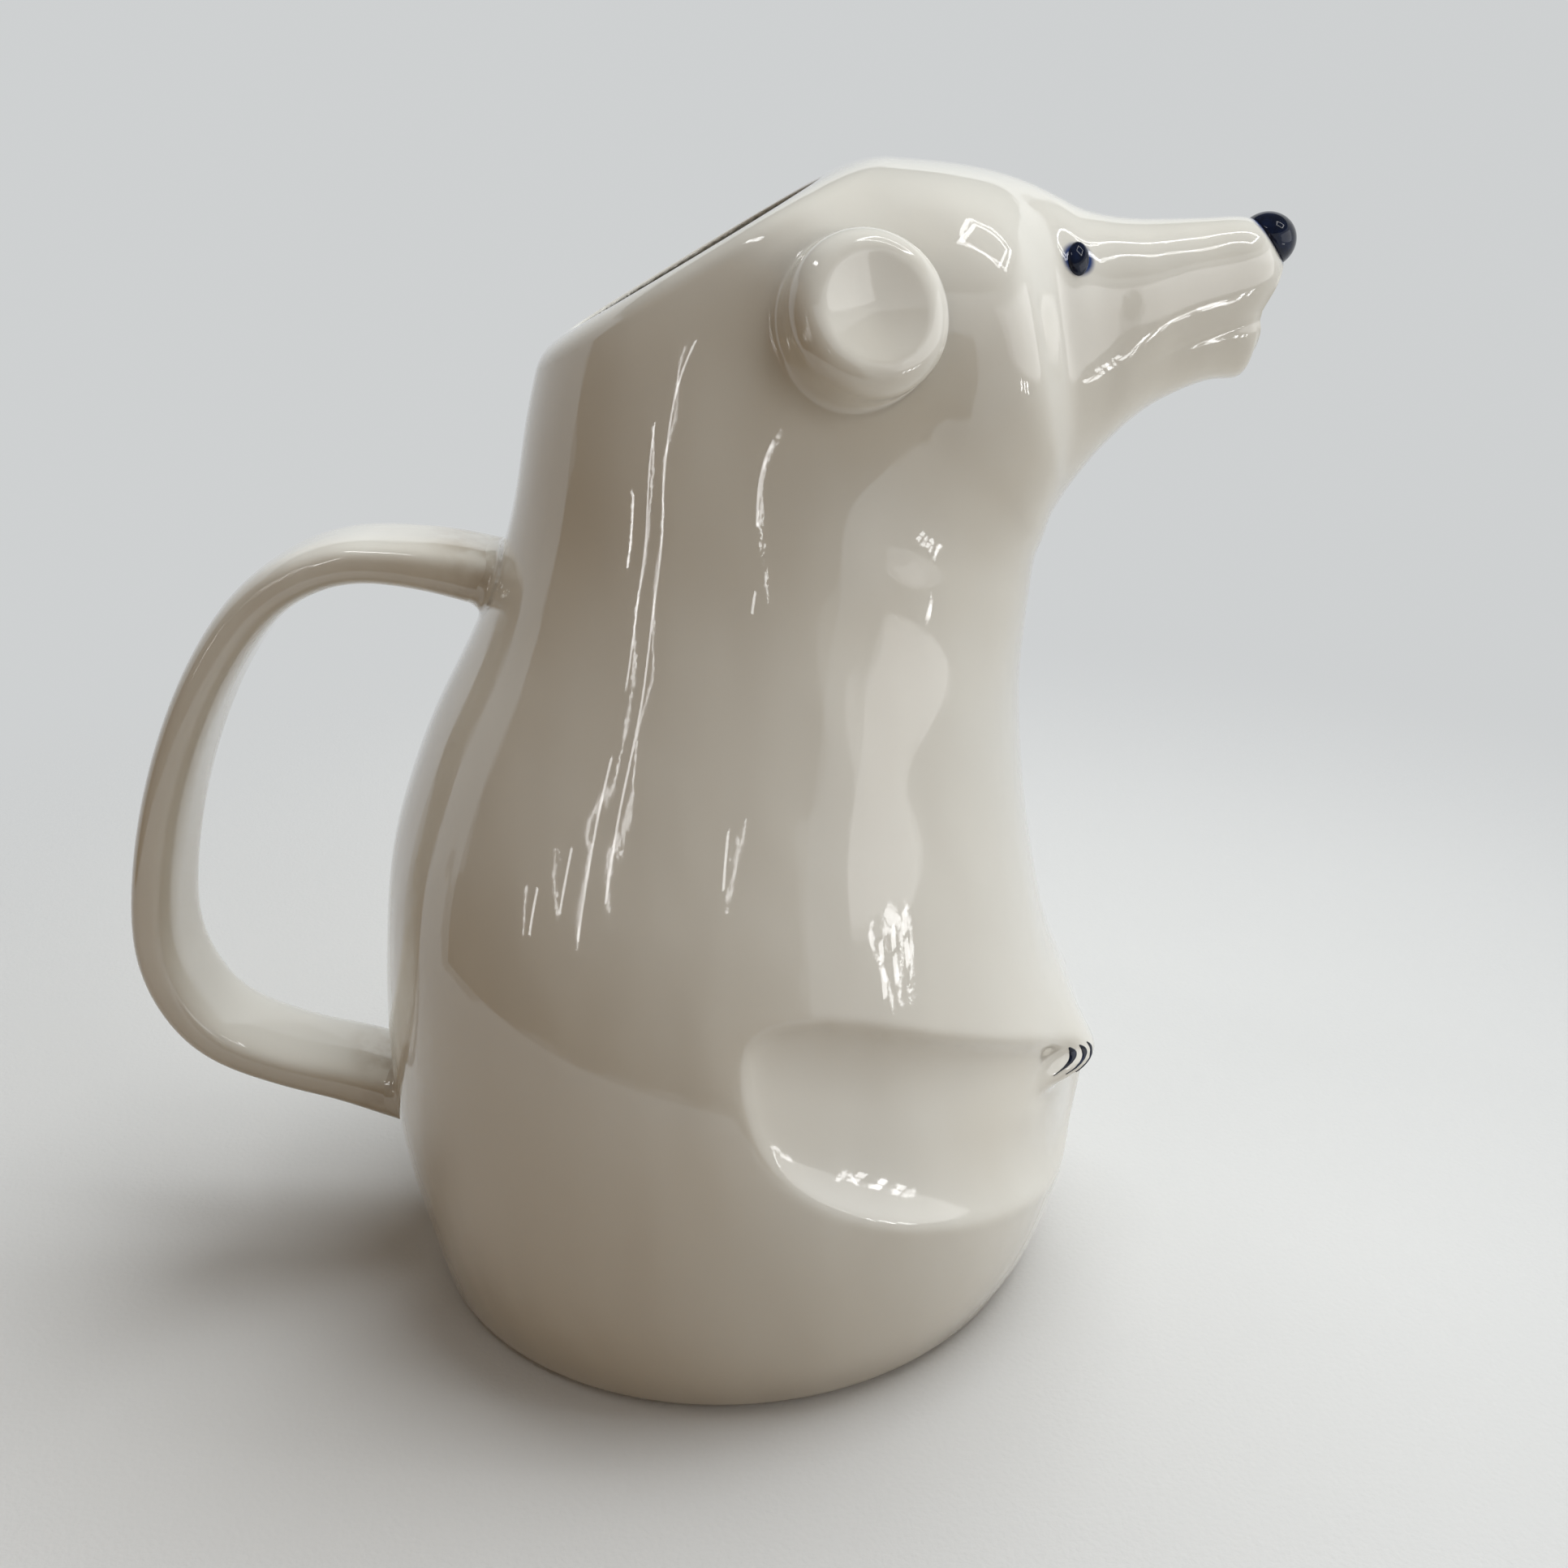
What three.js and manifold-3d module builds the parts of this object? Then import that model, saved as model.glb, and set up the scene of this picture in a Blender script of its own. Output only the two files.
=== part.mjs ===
// Polar bear pitcher in glazed porcelain: a hollow cast bear, open at a slanted rim behind
// its head for filling and at its mouth for pouring, with a strap handle luted to its back.
// Millimetres, +Z up. The bear faces +X, its right side is -Y, and it stands on Z = 0.
import * as THREE from 'three';
import { LoftGeometry } from 'three/addons/geometries/LoftGeometry.js';
import { mergeVertices } from 'three/addons/utils/BufferGeometryUtils.js';
import Module from 'manifold-3d';

const wasm = await Module();
wasm.setup();

const { clamp, degToRad, lerp, smoothstep } = THREE.MathUtils;

// Gap left between two pieces that are cut to fit each other
const seatGap = 0.3;

// Casting
const wall = 4.5;
const lipWall = 3;
const floorHeight = 8;
const footRadius = 66;
const footRecessRadius = 57;
const footRecessDepth = 2;
const bellyHalf = 73.5;
const bellyReach = 77.5;
const collarHeight = 142.5;

// Sections of the torso from the foot up. Each ring runs through a back and a front point,
// [x, z] in the plane of symmetry, and half is its half width.
const torso = [
  { back: [-footRadius, 0], front: [footRadius, 0], half: footRadius },
  { back: [-68.5, 14], front: [72.5, 14], half: 71 },
  { back: [-72, 34], front: [77, 34], half: bellyHalf },
  { back: [-72.5, 55], front: [bellyReach, 52], half: bellyHalf },
  { back: [-71, 76], front: [69, 74], half: 70 },
  { back: [-67.5, 98], front: [64, 96], half: 64 },
  { back: [-58.5, 121.5], front: [61.5, 114], half: 56 },
];

// Sections of the neck, skull, cheeks and snout, which fan out round the throat. Here back is
// the top of the head, front is the throat or jaw, and heights are taken from the collar.
// Throat is the share of the width that is left at the front, which draws the cheeks in there.
const head = [
  { back: [-47, 0], front: [60.5, -13.5], half: 49 },
  { back: [-39, 21], front: [61, -3.5], half: 44, throat: 0.96 },
  { back: [-34, 43], front: [61.5, 2.5], half: 41.5, throat: 0.93 },
  { back: [-25.5, 65], front: [62, 7.5], half: 39.5, throat: 0.89 },
  { back: [-6, 83.5], front: [62.5, 11], half: 39, throat: 0.85 },
  { back: [20, 84], front: [63.5, 14], half: 38.5, throat: 0.81 },
  { back: [38, 83], front: [64, 16.5], half: 37, throat: 0.79 },
  { back: [49, 81.5], front: [64.5, 18.5], half: 33.5, throat: 0.83 },
  { back: [56.5, 79.5], front: [66, 21.5], half: 25.5, throat: 1.02 },
  { back: [62.5, 77], front: [69, 26], half: 21.5, throat: 1.06 },
  { back: [69, 74], front: [74, 32], half: 19, throat: 1.03 },
  { back: [78, 72.5], front: [82, 39], half: 16.5 },
  { back: [90, 72.5], front: [92.5, 43.5], half: 12.5 },
  { back: [100.5, 72.2], front: [99.5, 44], half: 9.8 },
  { back: [105.2, 65.5], front: [101.2, 47.5], half: 7.8 },
];

// Rim: the two ends of its slanted cut, [x, height over the collar]
const rimBack = [-31.5, 51.5];
const rimFront = [25, 83];

// Scoop under each forearm, which leaves the forearm as a ledge above it
const scoopTurn = degToRad(46.3);
const scoopSweep = degToRad(38.3);
const scoopHeight = 53.7;
const scoopRise = 18.5;
const scoopBackHalf = 22.5;
const scoopFrontHalf = 15.4;
const scoopDepth = 5.5;

// Paw at the front end of each forearm, a knob that stands out from the belly
const pawTurn = degToRad(13.5);
const pawHeight = 51;
const pawSpread = degToRad(11);
const pawAbove = 13;
const pawBelow = 8;
const pawProud = 3.6;

// Ears: round dished buttons with a flared root, turned forward and up
const earX = 27;
const earHeight = 58.8;
const earRadius = 13.3;
const earRoll = 2.3;
const earDish = 3.4;
const earWaist = 12.6;
const earFlare = 4;
const earStand = 6.5;
const earRoot = 20;
const earForward = degToRad(12);
const earUp = degToRad(24);

// Face
const noseCentre = [102.6, 68.5];
const noseRadii = [5.2, 6.2, 5];
const noseBackTop = [98.8, 72.8];
const noseBackLow = [105.8, 64.2];
const eyeX = 65;
const eyeHeight = 66.5;
const eyeRadii = [2.2, 1.3, 3.1];
const eyeSink = 0.7;
const mouthLine = [[102, 56.5], [96, 55], [87, 52.3], [76, 48]];
const mouthLineRadius = 1.1;

// Claws: three brushed strokes on each paw
const clawCount = 3;
const clawTurn = degToRad(16);
const clawStep = degToRad(2.6);
const clawTop = 54.3;
const clawLength = 5.8;
const clawSlant = degToRad(1.8);
const clawHalf = 0.75;
const clawInlay = 0.6;
const clawProud = 0.15;

// Handle: a strap whose centre line starts and ends on the bear's back
const handleWidth = 24;
const handleThickness = 9.5;
const handleRootThickness = 11.5;
const handleTopHeight = 150;
const handleLowHeight = 34;
const handleEmbed = 12;
const handleBends = [
  [-56, 153],
  [-73, 154],
  [-88.5, 147],
  [-101, 132],
  [-111.5, 111],
  [-118.5, 88],
  [-120.5, 67],
  [-112.5, 50],
  [-96.5, 42],
  [-84, 38.5],
];
const luteReach = 5;
const luteWidth = 2.6;

// Glaze and paint
const glaze = { color: 0xe9e4d9, roughness: 0.12, metalness: 0 };
const slip = { color: 0xd9cfbd, roughness: 0.25, metalness: 0 };
const paint = { color: 0x10131d, roughness: 0.1, metalness: 0 };

// A closed geometry as a solid. A ring that has shrunk to a point leaves no slivers behind.
function solidOf(geometry) {
  const bare = new THREE.BufferGeometry();
  bare.setAttribute('position', geometry.getAttribute('position'));
  bare.setIndex(geometry.getIndex());
  const merged = mergeVertices(bare, 1e-4);
  const triVerts = [];
  for (let i = 0; i < merged.index.count; i += 3) {
    const corners = [0, 1, 2].map((corner) => merged.index.getX(i + corner));
    if (new Set(corners).size === 3) triVerts.push(...corners);
  }
  return new wasm.Manifold(
    new wasm.Mesh({
      numProp: 3,
      vertProperties: merged.attributes.position.array,
      triVerts: new Uint32Array(triVerts),
    }),
  );
}

function loft(outlines, capped = true) {
  return solidOf(new LoftGeometry(outlines, { capStart: capped, capEnd: capped }));
}

function meshOf(name, solid, look) {
  const { vertProperties, triVerts } = solid.getMesh();
  const geometry = new THREE.BufferGeometry();
  geometry.setAttribute('position', new THREE.Float32BufferAttribute(vertProperties, 3));
  geometry.setIndex(new THREE.Uint32BufferAttribute(triVerts, 1));
  geometry.computeVertexNormals();
  const mesh = new THREE.Mesh(geometry, new THREE.MeshStandardMaterial(look));
  mesh.name = name;
  return mesh;
}

// A block that fills everything over the line from a to b, for cutting on a slant
function blockOver([ax, az], [bx, bz]) {
  const size = 400;
  const block = new THREE.BoxGeometry(size, size, size);
  block.translate(0, 0, size / 2);
  block.rotateY(-Math.atan2(bz - az, bx - ax));
  block.translate((ax + bx) / 2, 0, (az + bz) / 2);
  return solidOf(block);
}

const overCollar = ([x, height]) => [x, collarHeight + height];

const sections = [
  ...torso,
  ...head.map(({ back, front, half }) => ({
    back: overCollar(back),
    front: overCollar(front),
    half,
  })),
];
const lastSection = sections.length - 1;
const rail = (point) =>
  new THREE.CatmullRomCurve3(
    sections.map((section) => point(section)),
    false,
    'catmullrom',
    0.5,
  );
const backRail = rail(({ back, half }) => new THREE.Vector3(back[0], half, back[1]));
const frontRail = rail(({ front, throat = 1 }) => new THREE.Vector3(front[0], throat, front[1]));

// A point on the casting. Along counts sections from the foot, turn goes round the ring from
// the front by the bear's right side, and inset is the depth below the skin.
function skin(along, turn, inset = 0) {
  const back = backRail.getPoint(along / lastSection);
  const front = frontRail.getPoint(along / lastSection);
  const towardsFront = ((1 + Math.cos(turn)) / 2) ** 2;
  const halfWidth = back.y * lerp(1, front.y, towardsFront);
  back.y = 0;
  front.y = 0;
  const across = front.clone().sub(back);
  const reach = across.length() / 2 - inset;
  return back
    .add(front)
    .multiplyScalar(0.5)
    .addScaledVector(across.normalize(), reach * Math.cos(turn))
    .setY(-(halfWidth - inset) * Math.sin(turn));
}

function skinNormal(along, turn) {
  const step = 0.01;
  const up = skin(along + step, turn).sub(skin(along - step, turn));
  const round = skin(along, turn + step).sub(skin(along, turn - step));
  return up.cross(round).normalize();
}

function ring(along, inset, columns) {
  return Array.from({ length: columns }, (_, i) => skin(along, (-2 * Math.PI * i) / columns, inset));
}

// Rings from one section to the last, with inset a number or a function of the place
function rings(from, columns, perSection, inset) {
  const rows = Math.ceil((lastSection - from) * perSection);
  return Array.from({ length: rows + 1 }, (_, i) => {
    const along = lerp(from, lastSection, i / rows);
    return ring(along, typeof inset === 'function' ? inset(along) : inset, columns);
  });
}

// The place along the torso or nape where the skin reaches a height, on a given turn
function alongAt(turn, height) {
  const nape = torso.length + 2;
  let low = 0;
  let high = nape;
  for (let i = 0; i < 40; i++) {
    const middle = (low + high) / 2;
    if (skin(middle, turn).z < height) low = middle;
    else high = middle;
  }
  return low;
}

function onTorso(turn, height, inset = 0) {
  return skin(alongAt(turn, height), turn, inset);
}

// The place on the right side of the head that is nearest to x and z
function onHead(x, z) {
  let along = (torso.length + lastSection) / 2;
  let turn = Math.PI / 2;
  let alongStep = (lastSection - torso.length) / 2;
  let turnStep = Math.PI / 2;
  const gapTo = (a, t) => {
    const point = skin(a, t);
    return Math.hypot(point.x - x, point.z - z);
  };
  const offsets = [-1, -0.5, 0, 0.5, 1];
  for (let i = 0; i < 24; i++) {
    const tries = offsets.flatMap((a) => offsets.map((t) => [along + a * alongStep, turn + t * turnStep]));
    const inside = tries.filter(([a, t]) => a <= lastSection && t > 0 && t < Math.PI);
    [along, turn] = inside.reduce((best, now) => (gapTo(...now) < gapTo(...best) ? now : best));
    alongStep *= 0.7;
    turnStep *= 0.7;
  }
  return { point: skin(along, turn), normal: skinNormal(along, turn) };
}

const mirrored = (solid, side) => (side > 0 ? solid : solid.mirror([0, 1, 0]));
const sides = [
  ['right', 1],
  ['left', -1],
];

const outerColumns = 48;
const outerRows = 2;
const outside = loft(rings(0, outerColumns, outerRows, 0));
const fitted = loft(rings(0, outerColumns, outerRows, -seatGap));

// The cavity follows the skin from the floor to the mouth and runs out through the lips
function cavity() {
  const inset = (along) => lerp(wall, lipWall, smoothstep(along, lastSection - 4, lastSection));
  const inner = rings(alongAt(Math.PI, floorHeight), 32, 1.5, inset);
  const lips = inner.at(-1);
  const across = skin(lastSection, 0).sub(skin(lastSection, Math.PI)).normalize();
  const outward = new THREE.Vector3(-across.z, 0, across.x);
  inner.push(lips.map((point) => point.clone().addScaledVector(outward, 3 * lipWall)));
  return loft(inner);
}

// The scoop as a lens that follows the belly. Backing moves its floor in by that much and
// widens its outline, which keeps the wall behind it.
function scoop(backing, steps) {
  const clearOfSkin = 6;
  const widen = 1 + backing / 40;
  const full = (value) => Math.sign(value) * Math.abs(value) ** 0.65;
  const place = (share, angle, inset) => {
    const toBack = widen * share * full(Math.cos(angle));
    const up = widen * share * full(Math.sin(angle));
    const half = lerp(scoopFrontHalf, scoopBackHalf, (1 + toBack) / 2);
    const height = scoopHeight + scoopRise * toBack + half * up;
    return onTorso(scoopTurn + scoopSweep * toBack, height, inset);
  };
  const depth = (share, angle) => {
    const edge = lerp(0.85, 0.45, (1 + Math.sin(angle)) / 2);
    return scoopDepth * (1 - share ** 2.6) ** edge + backing;
  };
  const shares = [0, 0.3, 0.5, 0.7, 0.85, 0.95, 1];
  const sheet = (share, inset) =>
    Array.from({ length: steps }, (_, i) => {
      const angle = (-2 * Math.PI * i) / steps;
      return place(share, angle, inset(share, angle));
    });
  const floor = shares.map((share) => sheet(share, depth));
  const cover = shares.toReversed().map((share) => sheet(share, () => -clearOfSkin));
  return loft([...floor, ...cover], false);
}

// How far the paw stands out from the belly at a place
function pawRise(turn, height) {
  const above = height - pawHeight;
  const share = Math.hypot((turn - pawTurn) / pawSpread, above / (above > 0 ? pawAbove : pawBelow));
  return pawProud * Math.max(1 - share * share, 0) ** 2;
}

const onPaw = (turn, height, inset) => onTorso(turn, height, inset - pawRise(turn, height));

// The paw as a lens that is rooted below the floor of the scoop
function paw() {
  const steps = 14;
  const root = scoopDepth + 1;
  const sheet = (share, place) =>
    Array.from({ length: steps }, (_, i) => {
      const angle = (-2 * Math.PI * i) / steps;
      const up = share * Math.sin(angle) * (Math.sin(angle) > 0 ? pawAbove : pawBelow);
      return place(pawTurn + share * pawSpread * Math.cos(angle), pawHeight + up);
    });
  const back = sheet(0.9, (turn, height) => onTorso(turn, height, root));
  const onTop = (turn, height) => onPaw(turn, height, 0);
  const front = [0.95, 0.75, 0.5, 0.25].map((share) => sheet(share, onTop));
  return loft([back, ...front]);
}

function mouthGroove() {
  const line = mouthLine.map((point) => onHead(...overCollar(point)).point);
  const section = new THREE.Shape().absarc(0, 0, mouthLineRadius, 0, 2 * Math.PI);
  return solidOf(
    new THREE.ExtrudeGeometry(section, {
      steps: 8,
      curveSegments: 4,
      bevelEnabled: false,
      extrudePath: new THREE.CatmullRomCurve3(line),
    }),
  );
}

function ear() {
  const profile = new THREE.Path();
  const rollCentre = [earRadius - earRoll, -earRoll];
  const lean = degToRad(40);
  profile.moveTo(0, -earDish);
  profile.quadraticCurveTo(
    rollCentre[0] - 2 * earRoll,
    -earDish,
    rollCentre[0] - earRoll * Math.sin(lean),
    rollCentre[1] + earRoll * Math.cos(lean),
  );
  profile.absarc(...rollCentre, earRoll, Math.PI / 2 + lean, -lean, true);
  profile.quadraticCurveTo(earWaist, -3 * earRoll, earWaist + earFlare, -earRoot);
  profile.lineTo(0, -earRoot);
  const button = new THREE.LatheGeometry(profile.getPoints(4).reverse(), 26);
  const facing = new THREE.Vector3(Math.sin(earForward), -Math.cos(earForward), Math.tan(earUp)).normalize();
  button.applyQuaternion(new THREE.Quaternion().setFromUnitVectors(new THREE.Vector3(0, 1, 0), facing));
  const seat = onHead(...overCollar([earX, earHeight])).point.addScaledVector(facing, earStand);
  button.translate(...seat);
  return solidOf(button).subtract(fitted);
}

function nose(gap) {
  const [cx, cz] = overCollar(noseCentre);
  const ball = new THREE.SphereGeometry(1, 20, 12);
  ball.scale(...noseRadii.map((radius) => radius + gap));
  ball.translate(cx, 0, cz);
  const top = new THREE.Vector2(...overCollar(noseBackTop));
  const low = new THREE.Vector2(...overCollar(noseBackLow));
  const along = low.clone().sub(top).normalize();
  const behind = new THREE.Vector2(along.y, -along.x).multiplyScalar(gap);
  top.add(behind);
  low.add(behind);
  return solidOf(ball).intersect(blockOver(top.toArray(), low.toArray()));
}

function eye(gap) {
  const { point, normal } = onHead(...overCollar([eyeX, eyeHeight]));
  const bead = new THREE.SphereGeometry(1, 14, 8);
  bead.scale(...eyeRadii.map((radius) => radius + gap));
  bead.applyQuaternion(new THREE.Quaternion().setFromUnitVectors(new THREE.Vector3(0, -1, 0), normal));
  bead.translate(...point.addScaledVector(normal, -eyeSink));
  return solidOf(bead);
}

// One claw stroke, thin at both ends and bowed forward, inlaid in the skin of the paw
function claw(index, gap) {
  const steps = 5;
  const strokes = Array.from({ length: steps + 1 }, (_, i) => {
    const height = lerp(clawTop + gap, clawTop - clawLength - gap, i / steps);
    const share = (clawTop - height) / clawLength;
    const swell = Math.sin(Math.PI * clamp(share, 0, 1));
    const middle = clawTurn + index * clawStep + clawSlant * (share - 0.5 * swell);
    const spread = (clawHalf * (0.35 + 0.65 * swell) + 2 * gap) / bellyReach;
    const proud = -clawProud - 3 * gap;
    return [
      onPaw(middle - spread, height, proud),
      onPaw(middle + spread, height, proud),
      onPaw(middle + spread, height, clawInlay + 1.6 * gap),
      onPaw(middle - spread, height, clawInlay + 1.6 * gap),
    ];
  });
  return loft(strokes);
}

const handleTop = onTorso(Math.PI, handleTopHeight);
const handleLow = onTorso(Math.PI, handleLowHeight);
const inBody = (root, bend) => {
  const inward = new THREE.Vector3(root.x - bend[0], 0, root.z - bend[1]).normalize();
  return root.clone().addScaledVector(inward, handleEmbed);
};
const handleLine = new THREE.CatmullRomCurve3([
  inBody(handleTop, handleBends[0]),
  handleTop,
  ...handleBends.map(([x, z]) => new THREE.Vector3(x, 0, z)),
  handleLow,
  inBody(handleLow, handleBends.at(-1)),
]);

// A ring of the strap: a rectangle with well rounded edges, square to the centre line
function strapRing(centre, tangent, width, thickness) {
  const points = 18;
  const outward = new THREE.Vector3(0, 1, 0).cross(tangent);
  const round = (value) => Math.sign(value) * Math.abs(value) ** (2 / 3);
  return Array.from({ length: points }, (_, i) => {
    const angle = (2 * Math.PI * i) / points;
    return centre
      .clone()
      .addScaledVector(outward, (thickness / 2) * round(Math.cos(angle)))
      .setY((width / 2) * round(Math.sin(angle)));
  });
}

function strap(gap) {
  const steps = 32;
  const strapRings = Array.from({ length: steps + 1 }, (_, i) => {
    const share = i / steps;
    const fromRoot = Math.min(share, 1 - share);
    const thickness = lerp(handleRootThickness, handleThickness, smoothstep(fromRoot, 0.05, 0.2));
    return strapRing(
      handleLine.getPoint(share),
      handleLine.getTangent(share),
      handleWidth + 2 * gap,
      thickness + 2 * gap,
    );
  });
  return loft(strapRings);
}

// The bead of slip round a root of the handle, widest on the body
function lute(root, bend) {
  const outward = new THREE.Vector3(bend[0] - root.x, 0, bend[1] - root.z).normalize();
  const bead = [-2, 0, 0.35, 0.7, 1].map((share) => {
    const grow = luteWidth * (1 - 0.75 * Math.sqrt(Math.max(share, 0)));
    return strapRing(
      root.clone().addScaledVector(outward, share * luteReach),
      outward,
      handleWidth + 2 * grow,
      handleRootThickness + 2 * grow,
    );
  });
  return loft(bead).subtract(fitted).subtract(strap(seatGap));
}

function bodyCasting() {
  let hollow = cavity();
  let body = outside;
  for (const [, side] of sides) {
    hollow = hollow.subtract(mirrored(scoop(wall, 18), side));
    body = body.subtract(mirrored(scoop(0, 32), side)).add(mirrored(paw(), side));
  }
  const recess = new THREE.CylinderGeometry(footRecessRadius, footRecessRadius, 2 * footRecessDepth, 48);
  recess.rotateX(Math.PI / 2);
  body = body
    .subtract(hollow)
    .subtract(blockOver(overCollar(rimBack), overCollar(rimFront)))
    .subtract(solidOf(recess))
    .subtract(nose(seatGap));
  for (const [, side] of sides) {
    body = body.subtract(mirrored(eye(seatGap), side)).subtract(mirrored(mouthGroove(), side));
    for (let i = 0; i < clawCount; i++) body = body.subtract(mirrored(claw(i, seatGap), side));
  }
  return body;
}

const pitcher = new THREE.Group();
pitcher.add(
  meshOf('body_casting', bodyCasting(), glaze),
  meshOf('handle', strap(0).subtract(fitted), glaze),
  meshOf('handle_lute_upper', lute(handleTop, handleBends[0]), slip),
  meshOf('handle_lute_lower', lute(handleLow, handleBends.at(-1)), slip),
  meshOf('nose_tip', nose(0), paint),
);
for (const [name, side] of sides) {
  pitcher.add(
    meshOf(`ear_${name}`, mirrored(ear(), side), glaze),
    meshOf(`eye_${name}`, mirrored(eye(0), side), paint),
  );
  for (let i = 0; i < clawCount; i++) {
    pitcher.add(meshOf(`claw_${name}_${i + 1}`, mirrored(claw(i, 0), side), paint));
  }
}

// The frame's origin lies on the floor, under the middle of the pitcher's box
const box = new THREE.Box3().setFromObject(pitcher);
pitcher.position.x = -(box.min.x + box.max.x) / 2;

const root = new THREE.Group();
root.add(pitcher);

export default root;
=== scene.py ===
import math

import bmesh
import bpy
import numpy as np
from mathutils import Matrix, Vector
from mathutils.bvhtree import BVHTree


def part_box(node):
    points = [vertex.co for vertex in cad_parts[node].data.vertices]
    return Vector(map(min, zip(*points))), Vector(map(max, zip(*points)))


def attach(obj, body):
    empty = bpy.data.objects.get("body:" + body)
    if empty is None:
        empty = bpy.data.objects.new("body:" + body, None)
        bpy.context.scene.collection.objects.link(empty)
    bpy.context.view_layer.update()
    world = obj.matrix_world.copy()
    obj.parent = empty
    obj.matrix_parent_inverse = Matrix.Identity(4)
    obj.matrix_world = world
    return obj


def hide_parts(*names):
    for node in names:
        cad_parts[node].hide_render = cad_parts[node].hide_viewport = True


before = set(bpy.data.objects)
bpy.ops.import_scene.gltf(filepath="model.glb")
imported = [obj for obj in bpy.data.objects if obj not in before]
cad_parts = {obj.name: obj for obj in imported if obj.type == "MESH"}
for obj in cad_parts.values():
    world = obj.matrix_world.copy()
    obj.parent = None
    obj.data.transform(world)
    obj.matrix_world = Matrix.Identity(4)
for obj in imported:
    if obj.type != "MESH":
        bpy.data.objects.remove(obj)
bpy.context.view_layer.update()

MM = 0.001

# Casting
WALL = 4.5
LIP_WALL = 3.0
FLOOR_HEIGHT = 8.0
FOOT_RADIUS = 66.0
FOOT_RECESS_RADIUS = 57.0
FOOT_RECESS_DEPTH = 2.0
FOOT_EDGE = 1.6
COLLAR_HEIGHT = 142.5
BELLY_REACH = 77.5

# Sections of the torso from the foot up: back and front point in the plane of symmetry, half
# width, how square the section is (2 is an ellipse), and the share of its width left at the front
TORSO = [
    ((-66, 0), (66, 0), 66, 2.0, 1.0),
    ((-68.5, 14), (72.5, 14), 71, 2.0, 1.0),
    ((-72, 34), (77, 34), 73.5, 2.0, 1.0),
    ((-72.5, 55), (77.5, 52), 73.5, 2.0, 1.0),
    ((-71, 76), (69, 74), 70, 2.0, 1.0),
    ((-67.5, 98), (64, 96), 64, 2.0, 1.0),
    ((-58.5, 121.5), (61.5, 114), 56, 2.0, 1.0),
]

# Sections of the neck, skull, cheeks and snout, with heights over the collar
HEAD = [
    ((-47, 0), (60.5, -13.5), 49, 2.05, 1.0),
    ((-39, 21), (61, -3.5), 44, 2.1, 0.96),
    ((-34, 43), (61.5, 2.5), 41.5, 2.15, 0.93),
    ((-25.5, 65), (62, 7.5), 39.5, 2.15, 0.89),
    ((-6, 83.5), (62.5, 11), 39, 2.15, 0.85),
    ((20, 84), (63.5, 14), 38.5, 2.15, 0.81),
    ((38, 83), (64, 16.5), 37, 2.15, 0.79),
    ((49, 81.5), (64.5, 18.5), 33.5, 2.15, 0.83),
    ((56.5, 79.5), (66, 21.5), 25.5, 2.2, 1.02),
    ((62.5, 77), (69, 26), 21.5, 2.3, 1.06),
    ((69, 74), (74, 32), 19, 2.35, 1.03),
    ((78, 72.5), (82, 39), 16.5, 2.4, 1.0),
    ((90, 72.5), (92.5, 43.5), 12.5, 2.4, 1.0),
    ((100.5, 72.2), (99.5, 44), 9.8, 2.3, 1.0),
    ((105.2, 65.5), (101.2, 47.5), 7.8, 2.2, 1.0),
]

# Rim: the two ends of its slanted cut, and how far below it the two skins start to round over
RIM_BACK = (-31.5, COLLAR_HEIGHT + 51.5)
RIM_FRONT = (25, COLLAR_HEIGHT + 83)
RIM_OUTER_DROP = 3.4
RIM_INNER_DROP = 1.2

# Scoop under each forearm, and the paw that stands out at its front end
SCOOP_TURN = math.radians(46.3)
SCOOP_SWEEP = math.radians(38.3)
SCOOP_HEIGHT = 53.7
SCOOP_RISE = 17.7
SCOOP_BACK_HALF = 21.5
SCOOP_FRONT_HALF = 15.4
SCOOP_DEPTH = 5.5
SCOOP_SQUARE = 3
SCOOP_FULLNESS = 2.6
SCOOP_UNDER_ARM_EDGE = 0.45
SCOOP_LOW_EDGE = 0.85
SCOOP_SOFTEN = 1.0
PAW_TURN = math.radians(16.2)
PAW_HEIGHT = 52.2
PAW_SPREAD = math.radians(11)
PAW_ABOVE = 20.0
PAW_BELOW = 3.8
PAW_PROUD = 3.4
PAW_CLEAR = (0.3, 1.35)

# Mouth line on the side of the snout, (x, z)
MOUTH_LINE = [(x, COLLAR_HEIGHT + z) for x, z in [(102, 56.5), (96, 55), (87, 52.3), (76, 48)]]
MOUTH_DEPTH = 0.7
MOUTH_UPPER_WIDTH = 3.6
MOUTH_LOWER_WIDTH = 2.6
MOUTH_CORNER_FADE = (MOUTH_LINE[-1][0] - 2, MOUTH_LINE[-1][0] + 9)
SNOUT_FLOOR = COLLAR_HEIGHT + 30
CHIN_SET_IN = 0.4
CHIN_STEP = 1.5
CHIN_RETURN = (3, 9)
LIP_SET_BACK = 1.9
LIP_SLANT_HEIGHT = 8.5
LIP_RETURN_HEIGHT = 2.6
LIP_FADE = (MOUTH_LINE[0][0] - 7, MOUTH_LINE[0][0] + 2)
FACE_SOFTEN = 0.6

# Valley between the cheek and the snout, by its place in the row of sections, and the heights over
# the collar where it starts and ends
VALLEY_SECTION = 15.6
VALLEY_WIDTH = 0.5
VALLEY_DEPTH = 0.7
VALLEY_START = (30, 56)
VALLEY_END = (70, 78)

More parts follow.
